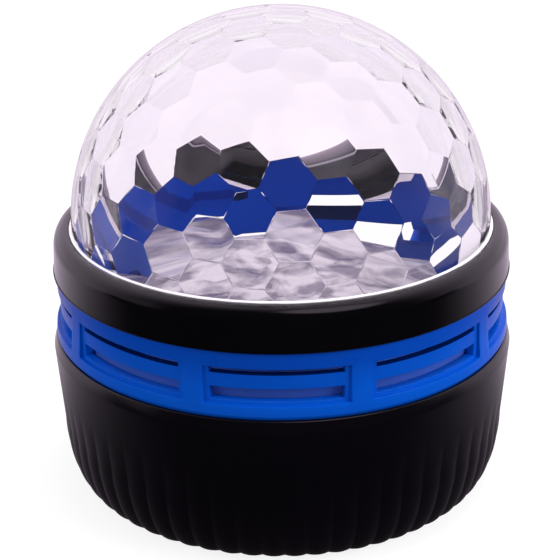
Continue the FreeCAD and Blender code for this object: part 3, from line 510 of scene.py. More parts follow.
looks = {
    "clear_cover": clear("clear_cover", (0.985, 0.935, 0.99), (0.93, 0.9, 0.94), 40, IOR=1.49, Roughness=0.0),
    "gloss_black": plastic("gloss_black", (0.0012, 0.001, 0.0016), 0.14, spread=0.03, grain=0.000004),
    # The second colour of blue_shell is painted shade under the collar.
    "blue_shell": shell("blue_shell", (0.0, 0.085, 0.57), (0.0, 0.058, 0.45)),
    # The slots' dark blue is painted shade for the floors of the upper slots.
    "slot_painted_shade": plastic("slot_painted_shade", (0.0, 0.012, 0.10), 0.5, mottle=0.2, Specular_IOR_Level=0.0),
    "satin_black": plastic("satin_black", (0.002, 0.0015, 0.003), 0.18, spread=0.03, grain=0.000008),
    "foot_rubber": plastic("foot_rubber", (0.02, 0.02, 0.02), 0.8, spread=0.08, mottle=0.3, grain=0.00006),
    "screw_steel": metal("screw_steel", (0.55, 0.55, 0.57), 0.35),
    "clear_wheel": ice("clear_wheel", (0.30, 0.27, 0.35), (1.0, 0.97, 1.0)),
    "frosted_edge": plastic("frosted_edge", (0.9, 0.87, 0.92), 0.5, mottle=0.03),
    "shaft_steel": metal("shaft_steel", (0.6, 0.6, 0.62), 0.25),
    "bush_brass": metal("bush_brass", (0.75, 0.58, 0.28), 0.3),
    "gear_plastic": plastic("gear_plastic", (0.82, 0.82, 0.78), 0.45, spread=0.06, mottle=0.03),
    "motor_steel": metal("motor_steel", (0.5, 0.5, 0.52), 0.4),
    "motor_plastic": plastic("motor_plastic", (0.03, 0.03, 0.03), 0.5),
    "frame_plastic": plastic("frame_plastic", (0.05, 0.05, 0.055), 0.5),
    "deck_blue": plastic("deck_blue", (0.04, 0.10, 0.46), 0.3, mottle=0.06, Specular_IOR_Level=0.15),
    "white_board": board("white_board", (0.75, 0.75, 0.76), (0.62, 0.62, 0.63)),
    "led_red": light_source("led_red", (0.7, 0.05, 0.05)),
    "led_green": light_source("led_green", (0.05, 0.6, 0.1)),
    "led_blue": light_source("led_blue", (0.05, 0.1, 0.8)),
    "led_lens": clear("led_lens", (0.97, 0.97, 0.97), (0.9, 0.9, 0.9), 400, IOR=1.42, Roughness=0.05),
    "green_board": board("green_board", (0.02, 0.2, 0.06), (0.05, 0.3, 0.1)),
    "chip_black": plastic("chip_black", (0.02, 0.02, 0.02), 0.5, spread=0.06, mottle=0.2),
    "capacitor_sleeve": plastic("capacitor_sleeve", (0.02, 0.03, 0.1), 0.3),
    "socket_steel": metal("socket_steel", (0.65, 0.65, 0.67), 0.2),
    "button_black": plastic("button_black", (0.008, 0.008, 0.01), 0.2, spread=0.04, grain=0.000006),
    "lead_red": plastic("lead_red", (0.5, 0.02, 0.02), 0.45),
    "lead_white": plastic("lead_white", (0.8, 0.8, 0.8), 0.45, mottle=0.03),
}
slot_of = {row["node"]: row["material_slot"] for row in frame["record"]["subparts"]}


# Mesh tools


def ring_point(radius, angle, z):
    return (radius * math.cos(angle), radius * math.sin(angle), z)


def rounded(outline):
    """A closed outline of (radius, height, round), with its corners rounded."""
    points = []
    for n, (r, z, fillet) in enumerate(outline):
        corner = Vector((r, z))
        if fillet == 0:
            points.append(corner)
            continue
        before = Vector(outline[n - 1][:2]) - corner
        after = Vector(outline[(n + 1) % len(outline)][:2]) - corner
        half = before.angle(after) / 2
        reach = min(fillet / math.tan(half), before.length / 2, after.length / 2)
        first = corner + before.normalized() * reach
        last = corner + after.normalized() * reach
        for step in range(ROUND_STEPS + 1):
            t = step / ROUND_STEPS
            points.append(first * (1 - t) ** 2 + corner * 2 * t * (1 - t) + last * t * t)
    return points


def piece_from(bm, name, node, body="housing"):
    """A finished piece that stands for a node."""
    mesh = bpy.data.meshes.new(name)
    bm.normal_update()
    bm.to_mesh(mesh)
    bm.free()
    piece = bpy.data.objects.new(name, mesh)
    bpy.context.scene.collection.objects.link(piece)
    mesh.materials.append(looks[slot_of[node]])
    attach(piece, body)
    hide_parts(node)
    return piece


def smooth(mesh, angle=SMOOTH_ANGLE):
    """Smooth shading, except over edges that turn by more than an angle in degrees."""
    mesh.polygons.foreach_set("use_smooth", [True] * len(mesh.polygons))
    mesh.set_sharp_from_angle(angle=math.radians(angle))


def ring_verts(bm, radius, z, columns):
    """A level ring of vertices."""
    return [bm.verts.new(ring_point(radius, 2 * math.pi * n / columns, z)) for n in range(columns)]


def join_rings(bm, rings):
    """Faces between each ring of vertices and the next."""
    for here, there in zip(rings, rings[1:]):
        for n in range(len(here)):
            m = (n + 1) % len(here)
            bm.faces.new((here[n], here[m], there[m], there[n]))


def applied(piece, modifier):
    """Gives the piece the mesh that its modifiers make."""
    graph = bpy.context.evaluated_depsgraph_get()
    made = bpy.data.meshes.new_from_object(piece.evaluated_get(graph))
    old = piece.data
    piece.modifiers.remove(modifier)
    piece.data = made
    bpy.data.meshes.remove(old)


def shaped(piece, tools, operation="DIFFERENCE"):
    """Cuts each tool's mesh out of the piece, or joins it on."""
    for bm in tools:
        mesh = bpy.data.meshes.new("tool")
        bm.to_mesh(mesh)
        bm.free()
        tool = bpy.data.objects.new("tool", mesh)
        bpy.context.scene.collection.objects.link(tool)
        modifier = piece.modifiers.new("shape", "BOOLEAN")
        modifier.object = tool
        modifier.operation = operation
        modifier.solver = "EXACT"
        applied(piece, modifier)
        bpy.data.objects.remove(tool)
        bpy.data.meshes.remove(mesh)


def block_tool(low, high):
    """A block between two corners."""
    bm = bmesh.new()
    bmesh.ops.create_cube(bm, size=1)
    for v in bm.verts:
        v.co = Vector([a + (b - a) * (c + 0.5) for a, b, c in zip(low, high, v.co)])
    return bm


def rod_tool(radius, start, end, columns=ROD_COLUMNS):
    """A round bar between two points."""
    bm = bmesh.new()
    start, end = Vector(start), Vector(end)
    length = (end - start).length
    turn = (end - start).to_track_quat("Z", "Y").to_matrix().to_4x4()
    place = Matrix.Translation((start + end) / 2) @ turn
    bmesh.ops.create_cone(
        bm, cap_ends=True, segments=columns, radius1=radius, radius2=radius, depth=length, matrix=place
    )
    return bm


def bevelled(piece, width, segments, angle):
    """Rounds the piece's edges that turn by more than an angle in degrees."""
    modifier = piece.modifiers.new("edges", "BEVEL")
    modifier.width = width
    modifier.segments = segments
    modifier.limit_method = "ANGLE"
    modifier.angle_limit = math.radians(angle)
    modifier.use_clamp_overlap = True
    applied(piece, modifier)


# The cup


def ridge_radius(z):
    """Radius of the cup's outside along the crest of a flute."""
    round_z = EDGE_Z + CUP_ROUND_HEIGHT
    waist = BODY_RADIUS - CUP_TAPER
    if z >= round_z:
        share = (z - round_z) / (RIM_Z - CUP_BULGE_DROP - round_z)
        return waist + (CUP_BULGE + CUP_TAPER) * share
    share = (round_z - z) / CUP_ROUND_HEIGHT
    return waist - (CUP_EDGE_INSET - CUP_TAPER) * (1 - math.sqrt(max(0, 1 - share * share)))


def cup():
    """The black cup: flutes that fade out upwards, a bulge under the rim, and the inside of its node."""
    bm = bmesh.new()
    columns = FLUTE_COUNT * FLUTE_COLUMNS
    flute_top = RIM_Z - FLUTE_DROP
    rows = []
    for n in range(FLUTE_ROWS + 1):
        share = math.cos(math.pi / 2 * n / FLUTE_ROWS)
        rows.append((flute_top - (flute_top - EDGE_Z) * share, share**FLUTE_FADE_SHARE))
    bulge = rounded(
        [
            (BODY_RADIUS - 3 * CUP_RIM_ROUND, RIM_Z, 0),
            (BODY_RADIUS, RIM_Z, CUP_RIM_ROUND),
            (BODY_RADIUS + CUP_BULGE, RIM_Z - CUP_BULGE_DROP, CUP_BULGE_DROP / 2),
            (ridge_radius(flute_top), flute_top, 0),
        ]
    )[1:-1]
    floor_z = PLATE_TOP_Z + CUP_FLOOR_THICKNESS
    plate_bore = BODY_RADIUS - CUP_EDGE_INSET - CUP_SKIRT_WIDTH
    spigot_bore = BODY_RADIUS - CUP_WALL
    cup_bore = BODY_RADIUS - CUP_LOWER_WALL
    inside = [
        (spigot_bore, RIM_Z),
        (spigot_bore, SPIGOT_Z),
        (cup_bore, SPIGOT_Z),
        (cup_bore, floor_z + CUP_BORE_RISE),
        (BODY_RADIUS - CUP_FLOOR_INSET + CUP_SLOPE_RUN, floor_z + CUP_SLOPE_RISE),
        (BODY_RADIUS - CUP_FLOOR_INSET, floor_z),
        (plate_bore - CUP_OPENING_INSET, floor_z),
        (plate_bore - CUP_OPENING_INSET, PLATE_TOP_Z),
        (plate_bore, PLATE_TOP_Z),
        (plate_bore, EDGE_Z),
    ]
    plain = bulge[::-1] + inside
    rings = []
    for z, fade in rows:
        crest = ridge_radius(z)
        ring = []
        for n in range(columns):
            across = 2 * ((n / FLUTE_COLUMNS) % 1) - 1
            drop = FLUTE_DEPTH * fade * across * across
            ring.append(bm.verts.new(ring_point(crest - drop, 2 * math.pi * n / columns, z)))
        rings.append(ring)
    rings += [ring_verts(bm, r, z, columns) for r, z in plain]
    join_rings(bm, rings + rings[:1])
    return piece_from(bm, "fluted_cup", "base_shell")


def along_button(distance):
    """The point of the button's axis that far from the light's axis."""
    turn = math.radians(BUTTON_TURN)
    return (distance * math.sin(turn), distance * math.cos(turn), BUTTON_Z)


def socket_tool(margin, start):
    """A block through the cup's back, that much larger than the window on each side."""
    x, z = SOCKET_WINDOW[0] / 2 + margin, SOCKET_WINDOW[1] / 2 + margin
    return block_tool((-x, start, SOCKET_Z - z), (x, cut_end, SOCKET_Z + z))


base = cup()
cut_end = BODY_RADIUS + CUT_OVERRUN
bosses = []
for n in range(BOSS_COUNT):
    turn = math.radians(BOSS_TURN + 360 * n / BOSS_COUNT)
    x, y, z = ring_point(BOSS_RING, turn, PLATE_TOP_Z + CUP_FLOOR_THICKNESS)
    bosses.append(rod_tool(BOSS_RADIUS, (x, y, z - BOSS_OVERLAP), (x, y, z + BOSS_HEIGHT), BOSS_COLUMNS))
shaped(base, bosses, "UNION")
shaped(
    base,
    [
        socket_tool(SOCKET_PAD_MARGIN, BODY_RADIUS - SOCKET_PAD_INSET),
        socket_tool(0.0, CUT_START_RADIUS),
        rod_tool(BUTTON_PAD_RADIUS, along_button(BODY_RADIUS - BUTTON_PAD_INSET), along_button(cut_end)),
        rod_tool(BUTTON_HOLE, along_button(CUT_START_RADIUS), along_button(cut_end)),
    ],
)
smooth(base.data, CUP_SMOOTH_ANGLE)


# The vented ring


def apart(angle, other):
    """Degrees between two directions."""
    return abs((angle - other + 180) % 360 - 180)


def vented_ring():
    """The blue ring: a wall of columns and rows with recessed windows and slots, closed by plain rings."""
    bm = bmesh.new()
    middles = [WINDOW_TURN - 90 + 360 * n / WINDOW_COUNT for n in range(WINDOW_COUNT)]
    edges = {round(360 * n / COLUMNS, 3) for n in range(COLUMNS)}
    for middle in middles:
        for span in (-WINDOW_SPAN, WINDOW_SPAN, -SLOT_SPAN, SLOT_SPAN):
            limit = (middle + span / 2) % 360
            edges = {e for e in edges if apart(e, limit) > COLUMN_GAP} | {limit}
    edges = sorted(edges)
    count = len(edges)

    def within(angle, span):
        return any(apart(angle, middle) < span / 2 for middle in middles)

    outside_rises = [0.0, RING_EDGE_CHAMFER, WINDOW_LOW_RISE, *SLOT_RISES, WINDOW_HIGH_RISE, COLLAR_Z - RIM_Z]

    def outside_radius(rise):
        if rise == 0:
            return BODY_RADIUS - RING_LIP_INSET - RING_EDGE_INSET
        if rise < RING_MID_RISE:
            share = (rise - RING_EDGE_CHAMFER) / (RING_MID_RISE - RING_EDGE_CHAMFER)
            return BODY_RADIUS - RING_LIP_INSET - (RING_MID_INSET - RING_LIP_INSET) * share
        share = (rise - RING_MID_RISE) / (COLLAR_Z - RIM_Z - RING_MID_RISE)
        return BODY_RADIUS - RING_MID_INSET - (RING_TOP_INSET - RING_MID_INSET) * share

    recess = BODY_RADIUS - RING_MID_INSET - WINDOW_DEPTH
    inner = BODY_RADIUS - RING_INNER_INSET
    made = {}

    def vert(layer, column, rise):
        key = (layer, column % count, rise)
        if key not in made:
            radius = {"out": outside_radius(rise), "recess": recess, "in": inner}[layer]
            made[key] = bm.verts.new(ring_point(radius, math.radians(edges[column % count]), RIM_Z + rise))
        return made[key]

    def state(column, row):
        a, b = edges[column % count], edges[(column + 1) % count]
        middle = (a + ((b - a) % 360) / 2) % 360
        low, high = outside_rises[row], outside_rises[row + 1]
        if low < WINDOW_LOW_RISE or high > WINDOW_HIGH_RISE or not within(middle, WINDOW_SPAN):
            return "out"
        if within(middle, SLOT_SPAN) and (low, high) in (SLOT_RISES[:2], SLOT_RISES[2:]):
            return "hole"
        return "recess"

    def wall(corners):
        bm.faces.new([vert(*corner) for corner in corners])

    rows = len(outside_rises) - 1
    window_rows = range(outside_rises.index(WINDOW_LOW_RISE), outside_rises.index(WINDOW_HIGH_RISE))
    for row in range(rows):
        low, high = outside_rises[row], outside_rises[row + 1]
        for column in range(count):
            here, after = state(column, row), column + 1
            if here != "hole":
                wall([(here, column, low), (here, after, low), (here, after, high), (here, column, high)])
            if row in window_rows and here != "hole":
                wall([("in", after, low), ("in", column, low), ("in", column, high), ("in", after, high)])
            beside = state(after, row)
            if beside != here:
                a, b = ("out", "recess") if "out" in (here, beside) else ("recess", "in")
                wall([(a, after, low), (b, after, low), (b, after, high), (a, after, high)])
            above = state(column, row + 1) if row + 1 < rows else here
            if above != here:
                a, b = ("out", "recess") if "out" in (here, above) else ("recess", "in")
                wall([(a, column, high), (a, after, high), (b, after, high), (b, column, high)])
    above_windows = [
        (outside_radius(COLLAR_Z - RIM_Z), COLLAR_Z),
        (BODY_RADIUS - RING_SEAT_INSET, COLLAR_Z),
        (BODY_RADIUS - RING_SEAT_INSET, FLANGE_Z),
        (BODY_RADIUS - RING_THROAT_INSET, FLANGE_Z),
        (BODY_RADIUS - RING_THROAT_INSET, COLLAR_Z),
        (inner, COLLAR_Z - RING_SLOPE_DROP),
        (inner, RIM_Z + WINDOW_HIGH_RISE),
    ]
    below_windows = [
        (inner, RIM_Z + WINDOW_LOW_RISE),
        (inner, RIM_Z + RING_LEDGE_RISE),
        (BODY_RADIUS - RING_LEDGE_INSET, RIM_Z + RING_LEDGE_RISE),
        (BODY_RADIUS - RING_LEDGE_INSET, RIM_Z - RING_LEDGE_DROP),
        (BODY_RADIUS - SPIGOT_INNER_INSET, RIM_Z - RING_LEDGE_DROP),
        (BODY_RADIUS - SPIGOT_INNER_INSET, SPIGOT_Z),
        (BODY_RADIUS - SPIGOT_OUTER_INSET, SPIGOT_Z),
        (BODY_RADIUS - SPIGOT_OUTER_INSET, RIM_Z),
        (BODY_RADIUS - RING_LIP_INSET - RING_EDGE_INSET, RIM_Z),
    ]
    for outline in (above_windows, below_windows):
        join_rings(bm, [[bm.verts.new(ring_point(r, math.radians(e), z)) for e in edges] for r, z in outline])
    bmesh.ops.remove_doubles(bm, verts=bm.verts, dist=RING_WELD)
    bmesh.ops.recalc_face_normals(bm, faces=bm.faces)
    return piece_from(bm, "vented_ring", "vent_ring")


ring = vented_ring()
bevelled(ring, RING_ROUND, RING_ROUND_STEPS, RING_ROUND_ANGLE)
bosses = []
for n in range(DECK_BOSS_COUNT):
    x, y, z = ring_point(DECK_BOSS_RING, math.radians(DECK_BOSS_TURN + 360 * n / DECK_BOSS_COUNT), RIM_Z)
    start, end = (x, y, z - DECK_BOSS_DROP), (x, y, z + DECK_BOSS_RISE)
    bosses.append(rod_tool(DECK_BOSS_RADIUS, start, end, BOSS_COLUMNS))
shaped(ring, bosses, "UNION")
smooth(ring.data)
# The floors of the upper slots take a dark blue without gloss: painted shade, where they lie in shade.
ring.data.materials.append(looks["slot_painted_shade"])
shade_radius = BODY_RADIUS - RING_MID_INSET - WINDOW_DEPTH - SLOT_SHADE_REACH
shade_low, shade_high = RIM_Z + SLOT_RISES[2] - SLOT_SHADE_REACH, RIM_Z + SLOT_RISES[3]
for face in ring.data.polygons:
    inside = shade_low < face.center.z < shade_high and face.center.xy.length < shade_radius
    if inside and face.normal.z > SLOT_SHADE_SLOPE:
        face.material_index = 1


# The collar


def collar():
    """The gloss black collar over the dome's flange."""
    bm = bmesh.new()
    shoulder_r, shoulder_z = BODY_RADIUS - COLLAR_SHOULDER_INSET, COLLAR_TOP_Z - COLLAR_SHOULDER_DROP
    land_r = collar_mouth_radius + COLLAR_LAND
    low_r = BODY_RADIUS + COLLAR_FLARE
    bore = BODY_RADIUS - RING_SEAT_INSET + COLLAR_GAP
    flange_top = FLANGE_Z + FLANGE_THICKNESS
    outline = rounded(
        [
            (bore, COLLAR_Z, 0),
            (low_r - COLLAR_CHAMFER, COLLAR_Z, COLLAR_CHAMFER),
            (low_r, COLLAR_Z + COLLAR_CHAMFER, COLLAR_CHAMFER),
        ]
    )
    for n in range(COLLAR_ROWS + 1):
        angle = math.pi / 2 * n / COLLAR_ROWS
        r = land_r + (shoulder_r - land_r) * math.cos(angle)
        outline.append(Vector((r, shoulder_z + COLLAR_SHOULDER_DROP * math.sin(angle))))
    outline += rounded(
        [
            (collar_mouth_radius, COLLAR_TOP_Z, COLLAR_MOUTH_ROUND),
            (collar_mouth_radius, flange_top, 0),
            (bore, flange_top, 0),
            (land_r, COLLAR_TOP_Z, 0),
        ]
    )[:-1]
    rings = [ring_verts(bm, r, z, 2 * COLUMNS) for r, z in outline]
    join_rings(bm, rings + rings[:1])
    bmesh.ops.recalc_face_normals(bm, faces=bm.faces)
    return piece_from(bm, "collar", "collar_ring")


collar_piece = collar()
smooth(collar_piece.data, COLLAR_SMOOTH_ANGLE)


# The dome


def icosahedron():
    """The corners of an icosahedron, and its triangles as corner numbers."""
    golden = (1 + math.sqrt(5)) / 2
    corners = []
    for a in (1, -1):
        for b in (golden, -golden):
            corners += [Vector((0, a, b)), Vector((a, b, 0)), Vector((b, 0, a))]
    edge = min((corners[0] - v).length for v in corners[1:])
    triangles = []
    for i, j, k in itertools.combinations(range(len(corners)), 3):
        a, b, c = corners[i], corners[j], corners[k]
        if max((a - b).length, (b - c).length, (c - a).length) < edge * EDGE_TOLERANCE:
            outward = (b - a).cross(c - a).dot(a) > 0
            triangles.append((i, j, k) if outward else (i, k, j))
    return [v.normalized() for v in corners], triangles


def triangle_grid():
    """Places in a triangle, as weights of its corners, of a grid of hexagons laid askew across it."""
    sixth = complex(1, math.sqrt(3)) / 2
    side = FACET_LONG_COUNT + FACET_SHORT_COUNT * sixth
    other = side * sixth
    area = (side.conjugate() * other).imag
    reach = 2 * (FACET_LONG_COUNT + FACET_SHORT_COUNT)
    places = []
    for i, j in itertools.product(range(-reach, reach + 1), repeat=2):
        here = i + j * sixth
        s = (here.conjugate() * other).imag / area
        t = (side.conjugate() * here).imag / area
        if min(s, t, 1 - s - t) > -SAME_PLACE:
            places.append((1 - s - t, s, t))
    return places


def facet_directions():
    """Evenly spread outward directions, one for each facet, turned as the dome is moulded."""
    corners, triangles = icosahedron()
    found = []
    for i, j, k in triangles:
        for a, b, c in triangle_grid():
            v = (corners[i] * a + corners[j] * b + corners[k] * c).normalized()
            if all((v - other).length > SAME_PLACE for other in found):
                found.append(v)
    reach = FACET_REACH_SHARE * math.sqrt(4 * math.pi / len(found) * 2 / math.sqrt(3))
    near = [[j for j, w in enumerate(found) if 0 < (v - w).length < reach] for v in found]
    for _ in range(FACET_EVEN_ROUNDS):
        found = [sum((found[j] for j in close), Vector()).normalized() for close in near]
    yaw, pitch, roll = (math.radians(a) for a in FACET_TURN)
    turn = Matrix.Rotation(yaw, 3, "Z") @ Matrix.Rotation(pitch, 3, "Y") @ Matrix.Rotation(roll, 3, "X")
    return [turn @ v for v in found], near


def facet_outline(normal, neighbours):
    """Corners of the flat facet at a direction, cut off where its neighbours' planes cross it."""
    side = normal.orthogonal().normalized()
    other = normal.cross(side)
    signs = ((1, 1), (-1, 1), (-1, -1), (1, -1))
    corners = [normal * facet_distance + (side * a + other * b) * dome_radius for a, b in signs]
    for plane in neighbours:
        kept = []
        for n, here in enumerate(corners):
            before = corners[n - 1]
            now, then = facet_distance - plane.dot(here), facet_distance - plane.dot(before)
            if now * then < 0:
                kept.append(before + (here - before) * (then / (then - now)))
            if now >= 0:
                kept.append(here)
        corners = kept
    return corners


def dome():
    """The clear dome: flat facets inside, round outside, and the flange at its foot."""
    bm = bmesh.new()
    directions, near = facet_directions()
    centre = Vector((0, 0, dome_centre_z))
    for n, normal in enumerate(directions):
        close = {k for j in near[n] for k in near[j]} - {n}
        corners = facet_outline(normal, [directions[k] for k in close])
        if max(corner.z for corner in corners) + dome_centre_z > FLANGE_Z - FACET_FOOT_DEPTH:
            bm.faces.new([bm.verts.new(centre + corner) for corner in reversed(corners)])
    bmesh.ops.remove_doubles(bm, verts=bm.verts, dist=FACET_WELD)
    bmesh.ops.bevel(
        bm,
        geom=bm.edges[:],
        offset=FACET_ROUND,
        segments=FACET_ROUND_STEPS,
        profile=0.5,
        affect="EDGES",
        clamp_overlap=True,
    )
    geometry = bm.verts[:] + bm.edges[:] + bm.faces[:]
    cut = bmesh.ops.bisect_plane(
        bm, geom=geometry, plane_co=(0, 0, FLANGE_Z), plane_no=(0, 0, -1), clear_outer=True
    )
    mouth = [e for e in cut["geom_cut"] if isinstance(e, bmesh.types.BMEdge)]
    flange_top = FLANGE_Z + FLANGE_THICKNESS
    skirt = collar_mouth_radius - DOME_GAP
    bead_z = COLLAR_TOP_Z + BEAD_RISE
    start = math.asin((bead_z - dome_centre_z) / dome_radius)
    outside = [(DOME_FLANGE_RADIUS, FLANGE_Z), (DOME_FLANGE_RADIUS, flange_top)]
    outside += [(skirt, flange_top), (skirt, COLLAR_TOP_Z)]
    for n in range(DOME_ROWS):
        angle = start + (math.pi / 2 - start) * n / DOME_ROWS
        outside.append((dome_radius * math.cos(angle), dome_centre_z + dome_radius * math.sin(angle)))
    rings = [ring_verts(bm, r, z, DOME_COLUMNS) for r, z in outside]
    join_rings(bm, rings)
    apex = bm.verts.new((0, 0, DOME_TOP_Z))
    for pair in zip(rings[-1], rings[-1][1:] + rings[-1][:1]):
        bm.faces.new((*pair, apex))
    foot = [bm.edges.get(pair) for pair in zip(rings[0], rings[0][1:] + rings[0][:1])]
    flat = bmesh.ops.bridge_loops(bm, edges=mouth + foot)["faces"]
    bmesh.ops.recalc_face_normals(bm, faces=bm.faces)
    # The bead and the flat foot take the frosted material. The bead's white ring is a frosted surface and
    # also a painted highlight line at the dome's foot.
    for face in bm.faces:
        height = face.calc_center_median().z
        bead = COLLAR_TOP_Z < height < bead_z and face.normal.z > 0
        face.material_index = int(bead or face in flat)
    piece = piece_from(bm, "faceted_dome", "dome")
    piece.data.materials.append(looks["frosted_edge"])
    return piece


dome_piece = dome()
smooth(dome_piece.data, DOME_SMOOTH_ANGLE)


# The wheel


def ice_height(x, y):
    """Height of the crushed ice pattern at a place, from 0 to 1."""
    place = Vector((x, y, 0)) * ICE_SCALE
    place += noise.noise_vector(place * ICE_BEND_SHARE) * ICE_BEND
    middle = noise.voronoi(place)[1][0]
    lean = noise.noise_vector(middle * ICE_LEAN_SCALE)
    flake = 0.5 + (place - middle).dot(lean) * ICE_LEAN
    fine = noise.noise(place * ICE_FINE_SCALE) * ICE_FINE
    return min(1, max(0, flake + fine))


def wheel():
    """The clear wheel: crushed ice on top, a rim, a web and a hub."""
    bm = bmesh.new()
    top = WHEEL_PEAK_Z - WHEEL_TOP_DROP
    rings = []
    for k in range(WHEEL_RINGS + 1):
        radius = WHEEL_SCREW_BORE + (WHEEL_RADIUS - WHEEL_SCREW_BORE) * k / WHEEL_RINGS
        from_edges = min(WHEEL_RADIUS - radius, max(0, radius - ICE_HUB_RADIUS))
        height = (WHEEL_PEAK_Z - top) * min(1, from_edges / ICE_EDGE_WIDTH)
        ring = []
        for n in range(WHEEL_COLUMNS):
            x, y, _ = ring_point(radius, 2 * math.pi * n / WHEEL_COLUMNS, 0)
            ring.append(bm.verts.new((x, y, top + height * ice_height(x, y))))
        rings.append(ring)
    web_z = top - WHEEL_WEB
    under = [
        (WHEEL_RADIUS, top - WHEEL_RIM_DEPTH),
        (WHEEL_RADIUS - WHEEL_RIM_WIDTH, top - WHEEL_RIM_DEPTH),
        (WHEEL_RADIUS - WHEEL_RIM_WIDTH, web_z),
        (WHEEL_HUB_RADIUS, web_z),
        (WHEEL_HUB_RADIUS, WHEEL_HUB_Z),
        (WHEEL_SHAFT_BORE, WHEEL_HUB_Z),
        (WHEEL_SHAFT_BORE, top - WHEEL_SHAFT_STOP),
        (WHEEL_SCREW_BORE, top - WHEEL_SHAFT_STOP),
    ]
    rings += [ring_verts(bm, r, z, WHEEL_COLUMNS) for r, z in under]
    join_rings(bm, rings + rings[:1])
    bmesh.ops.recalc_face_normals(bm, faces=bm.faces)
    return piece_from(bm, "ice_wheel", "pattern_wheel", "wheel")


noise.seed_set(ICE_SEED)
wheel_piece = wheel()
smooth(wheel_piece.data, WHEEL_SMOOTH_ANGLE)


# The frame's own nodes

replaced = {"dome", "collar_ring", "vent_ring", "base_shell", "pattern_wheel"}
for name, node in frame["nodes"].items():
    if name in replaced:
        continue
    node.data.materials.clear()
    node.data.materials.append(looks[slot_of[name]])


# Floor, light and camera


def ray_kinds(n):
    """Three values, each 1 for one kind of ray: one that sees straight or through clear parts, one that was
    mirrored, and one that was mirrored outside of the clear parts.
    """
    path = n.add("ShaderNodeLightPath").outputs
    seen = n.math("MAXIMUM", path["Is Camera Ray"], path["Is Transmission Ray"])
    through = n.without(path["Is Transmission Ray"], path["Glossy Depth"])
    mirrored = n.without(path["Is Glossy Ray"], through)
    outer = n.without(path["Is Glossy Ray"], path["Is Transmission Ray"])
    return seen, mirrored, outer


def ray_light(n, kinds, seen_level, mirror_level):
    """Colour and strength of what a ray meets. Mirrored rays meet mirror_level, which isn't as dark inside
    clear parts. The others meet seen_level.
    """
    _, mirrored, outer = kinds
    inner_level = n.math("MAXIMUM", mirror_level, INNER_REFLECTION)
    level = n.mix(outer, n.mix(mirrored, seen_level, inner_level), mirror_level)
    tints = {"Factor": outer, MIX_COLOUR_A: (1, 1, 1, 1), MIX_COLOUR_B: (*REFLECTION_TINT, 1)}
    tint = n.add("ShaderNodeMix", tints, data_type="RGBA")
    return {"Color": tint.outputs[MIX_COLOUR_RESULT], "Strength": level}


def floor():
    """White where it is seen, with the light's shadow on it. In reflections it is dark in front and light
    behind, and darker near the light: a painted shadow of the light.
    """
    bm = bmesh.new()
    bmesh.ops.create_grid(bm, x_segments=1, y_segments=1, size=FLOOR_REACH)
    mesh = bpy.data.meshes.new("floor")
    bm.to_mesh(mesh)
    bm.free()
    ground = bpy.data.objects.new("floor", mesh)
    bpy.context.scene.collection.objects.link(ground)
    n = new_look("floor_white")
    kinds = seen, mirrored, _ = ray_kinds(n)
    place = n.place()
    depth = n.change(n.part(place, "Y"), DARK_FLOOR_Y, LIGHT_FLOOR_Y, DARK_REFLECTION, LIGHT_REFLECTION)
    reach = n.add("ShaderNodeVectorMath", {0: place}, operation="LENGTH").outputs["Value"]
    # Reflections see the floor darker close to the light: a painted shadow of the light.
    near = n.change(reach, DARK_FLOOR_REACH, LIGHT_FLOOR_REACH, SHADOW_REFLECTION, 1.0)
    light = ray_light(n, kinds, n.math("MULTIPLY", seen, FLOOR_GLOW), n.math("MULTIPLY", depth, near))
    glow = n.add("ShaderNodeEmission", light)
    black = n.add("ShaderNodeEmission", {"Strength": 0.0})
    shaders = {1: n.shader.outputs["BSDF"], 2: black.outputs["Emission"]}
    lit = n.add("ShaderNodeMixShader", {"Fac": mirrored, **shaders})
    both = n.add("ShaderNodeAddShader", {0: lit.outputs["Shader"], 1: glow.outputs["Emission"]})
    n.give(n.shader, {"Base Color": (*grey(FLOOR_ALBEDO), 1), "Roughness": FLOOR_ROUGHNESS})
    mesh.materials.append(n.finished(both.outputs["Shader"], Specular_IOR_Level=0.0))


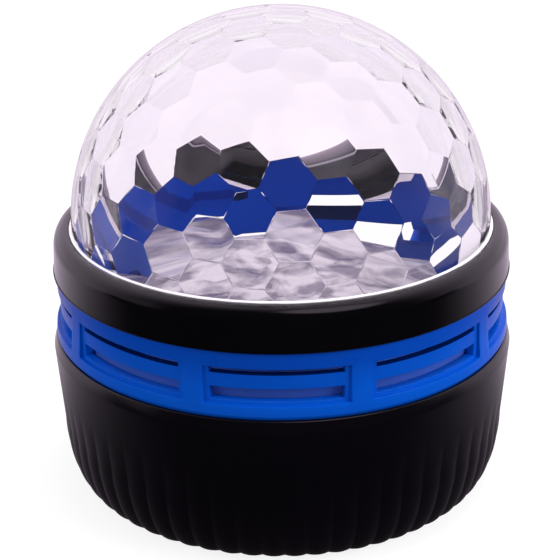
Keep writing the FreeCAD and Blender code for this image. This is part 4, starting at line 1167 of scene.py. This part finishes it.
def world():
    """A plain pale room, seen as white. In reflections it is dark in front, where the camera stands, light
    behind, and has its panels.
    """
    room = bpy.data.worlds.new("room")
    bpy.context.scene.world = room
    n = Nodes(room)
    kinds = seen, _, _ = ray_kinds(n)
    aim = n.add("ShaderNodeTexCoord").outputs["Generated"]
    mirror_level = n.change(n.part(aim, "Y"), DARK_ROOM_Y, LIGHT_ROOM_Y, DARK_REFLECTION, LIGHT_ROOM)
    for towards, start, end, level in PANELS:
        sockets = {0: aim, 1: Vector(towards).normalized()}
        close = n.add("ShaderNodeVectorMath", sockets, operation="DOT_PRODUCT").outputs["Value"]
        mirror_level = n.math("MAXIMUM", mirror_level, n.change(close, start, end, 0.0, level))
    light = ray_light(n, kinds, n.mix(seen, ROOM_LIGHT, 1.0), mirror_level)
    n.give(n.tree.nodes["Background"], light)


def softbox(name, place, size, power):
    """A lamp that shines on the light's middle and isn't seen itself."""
    lamp = bpy.data.lights.new(name, "AREA")
    lamp.shape = "RECTANGLE"
    lamp.size, lamp.size_y = size
    lamp.energy = power
    holder = bpy.data.objects.new(name, lamp)
    holder.location = place
    aim = Vector((0, 0, AIM_HEIGHT)) - Vector(place)
    holder.rotation_euler = aim.to_track_quat("-Z", "Y").to_euler()
    holder.visible_glossy = False
    holder.visible_transmission = False
    bpy.context.scene.collection.objects.link(holder)


def camera():
    """The camera, where the photograph was taken from."""
    data = bpy.data.cameras.new("camera")
    data.sensor_width = SENSOR_WIDTH_MM
    data.lens = FOCAL_PIXELS / PHOTO_SIDE * SENSOR_WIDTH_MM
    data.clip_start = CAMERA_CLIP
    holder = bpy.data.objects.new("camera", data)
    bpy.context.scene.collection.objects.link(holder)
    elevation = math.radians(CAMERA_ELEVATION)
    back = Vector((0, -math.cos(elevation), math.sin(elevation)))
    turn = (-back).to_track_quat("-Z", "Y").to_matrix() @ Matrix.Rotation(math.radians(CAMERA_ROLL), 3, "Z")
    place = Vector((AIM_SIDE, 0, AIM_HEIGHT)) + back * CAMERA_DISTANCE
    holder.matrix_world = Matrix.Translation(place) @ turn.to_4x4()
    bpy.context.scene.camera = holder


floor()
world()
for name, values in SOFTBOXES.items():
    softbox(name, *values)
camera()
bpy.context.scene.view_settings.view_transform = "Standard"
# Light is mirrored many times inside the clear wall before it leaves it.
bpy.context.scene.cycles.max_bounces = LIGHT_BOUNCES
bpy.context.scene.cycles.glossy_bounces = LIGHT_BOUNCES
bpy.context.scene.cycles.transmission_bounces = LIGHT_BOUNCES
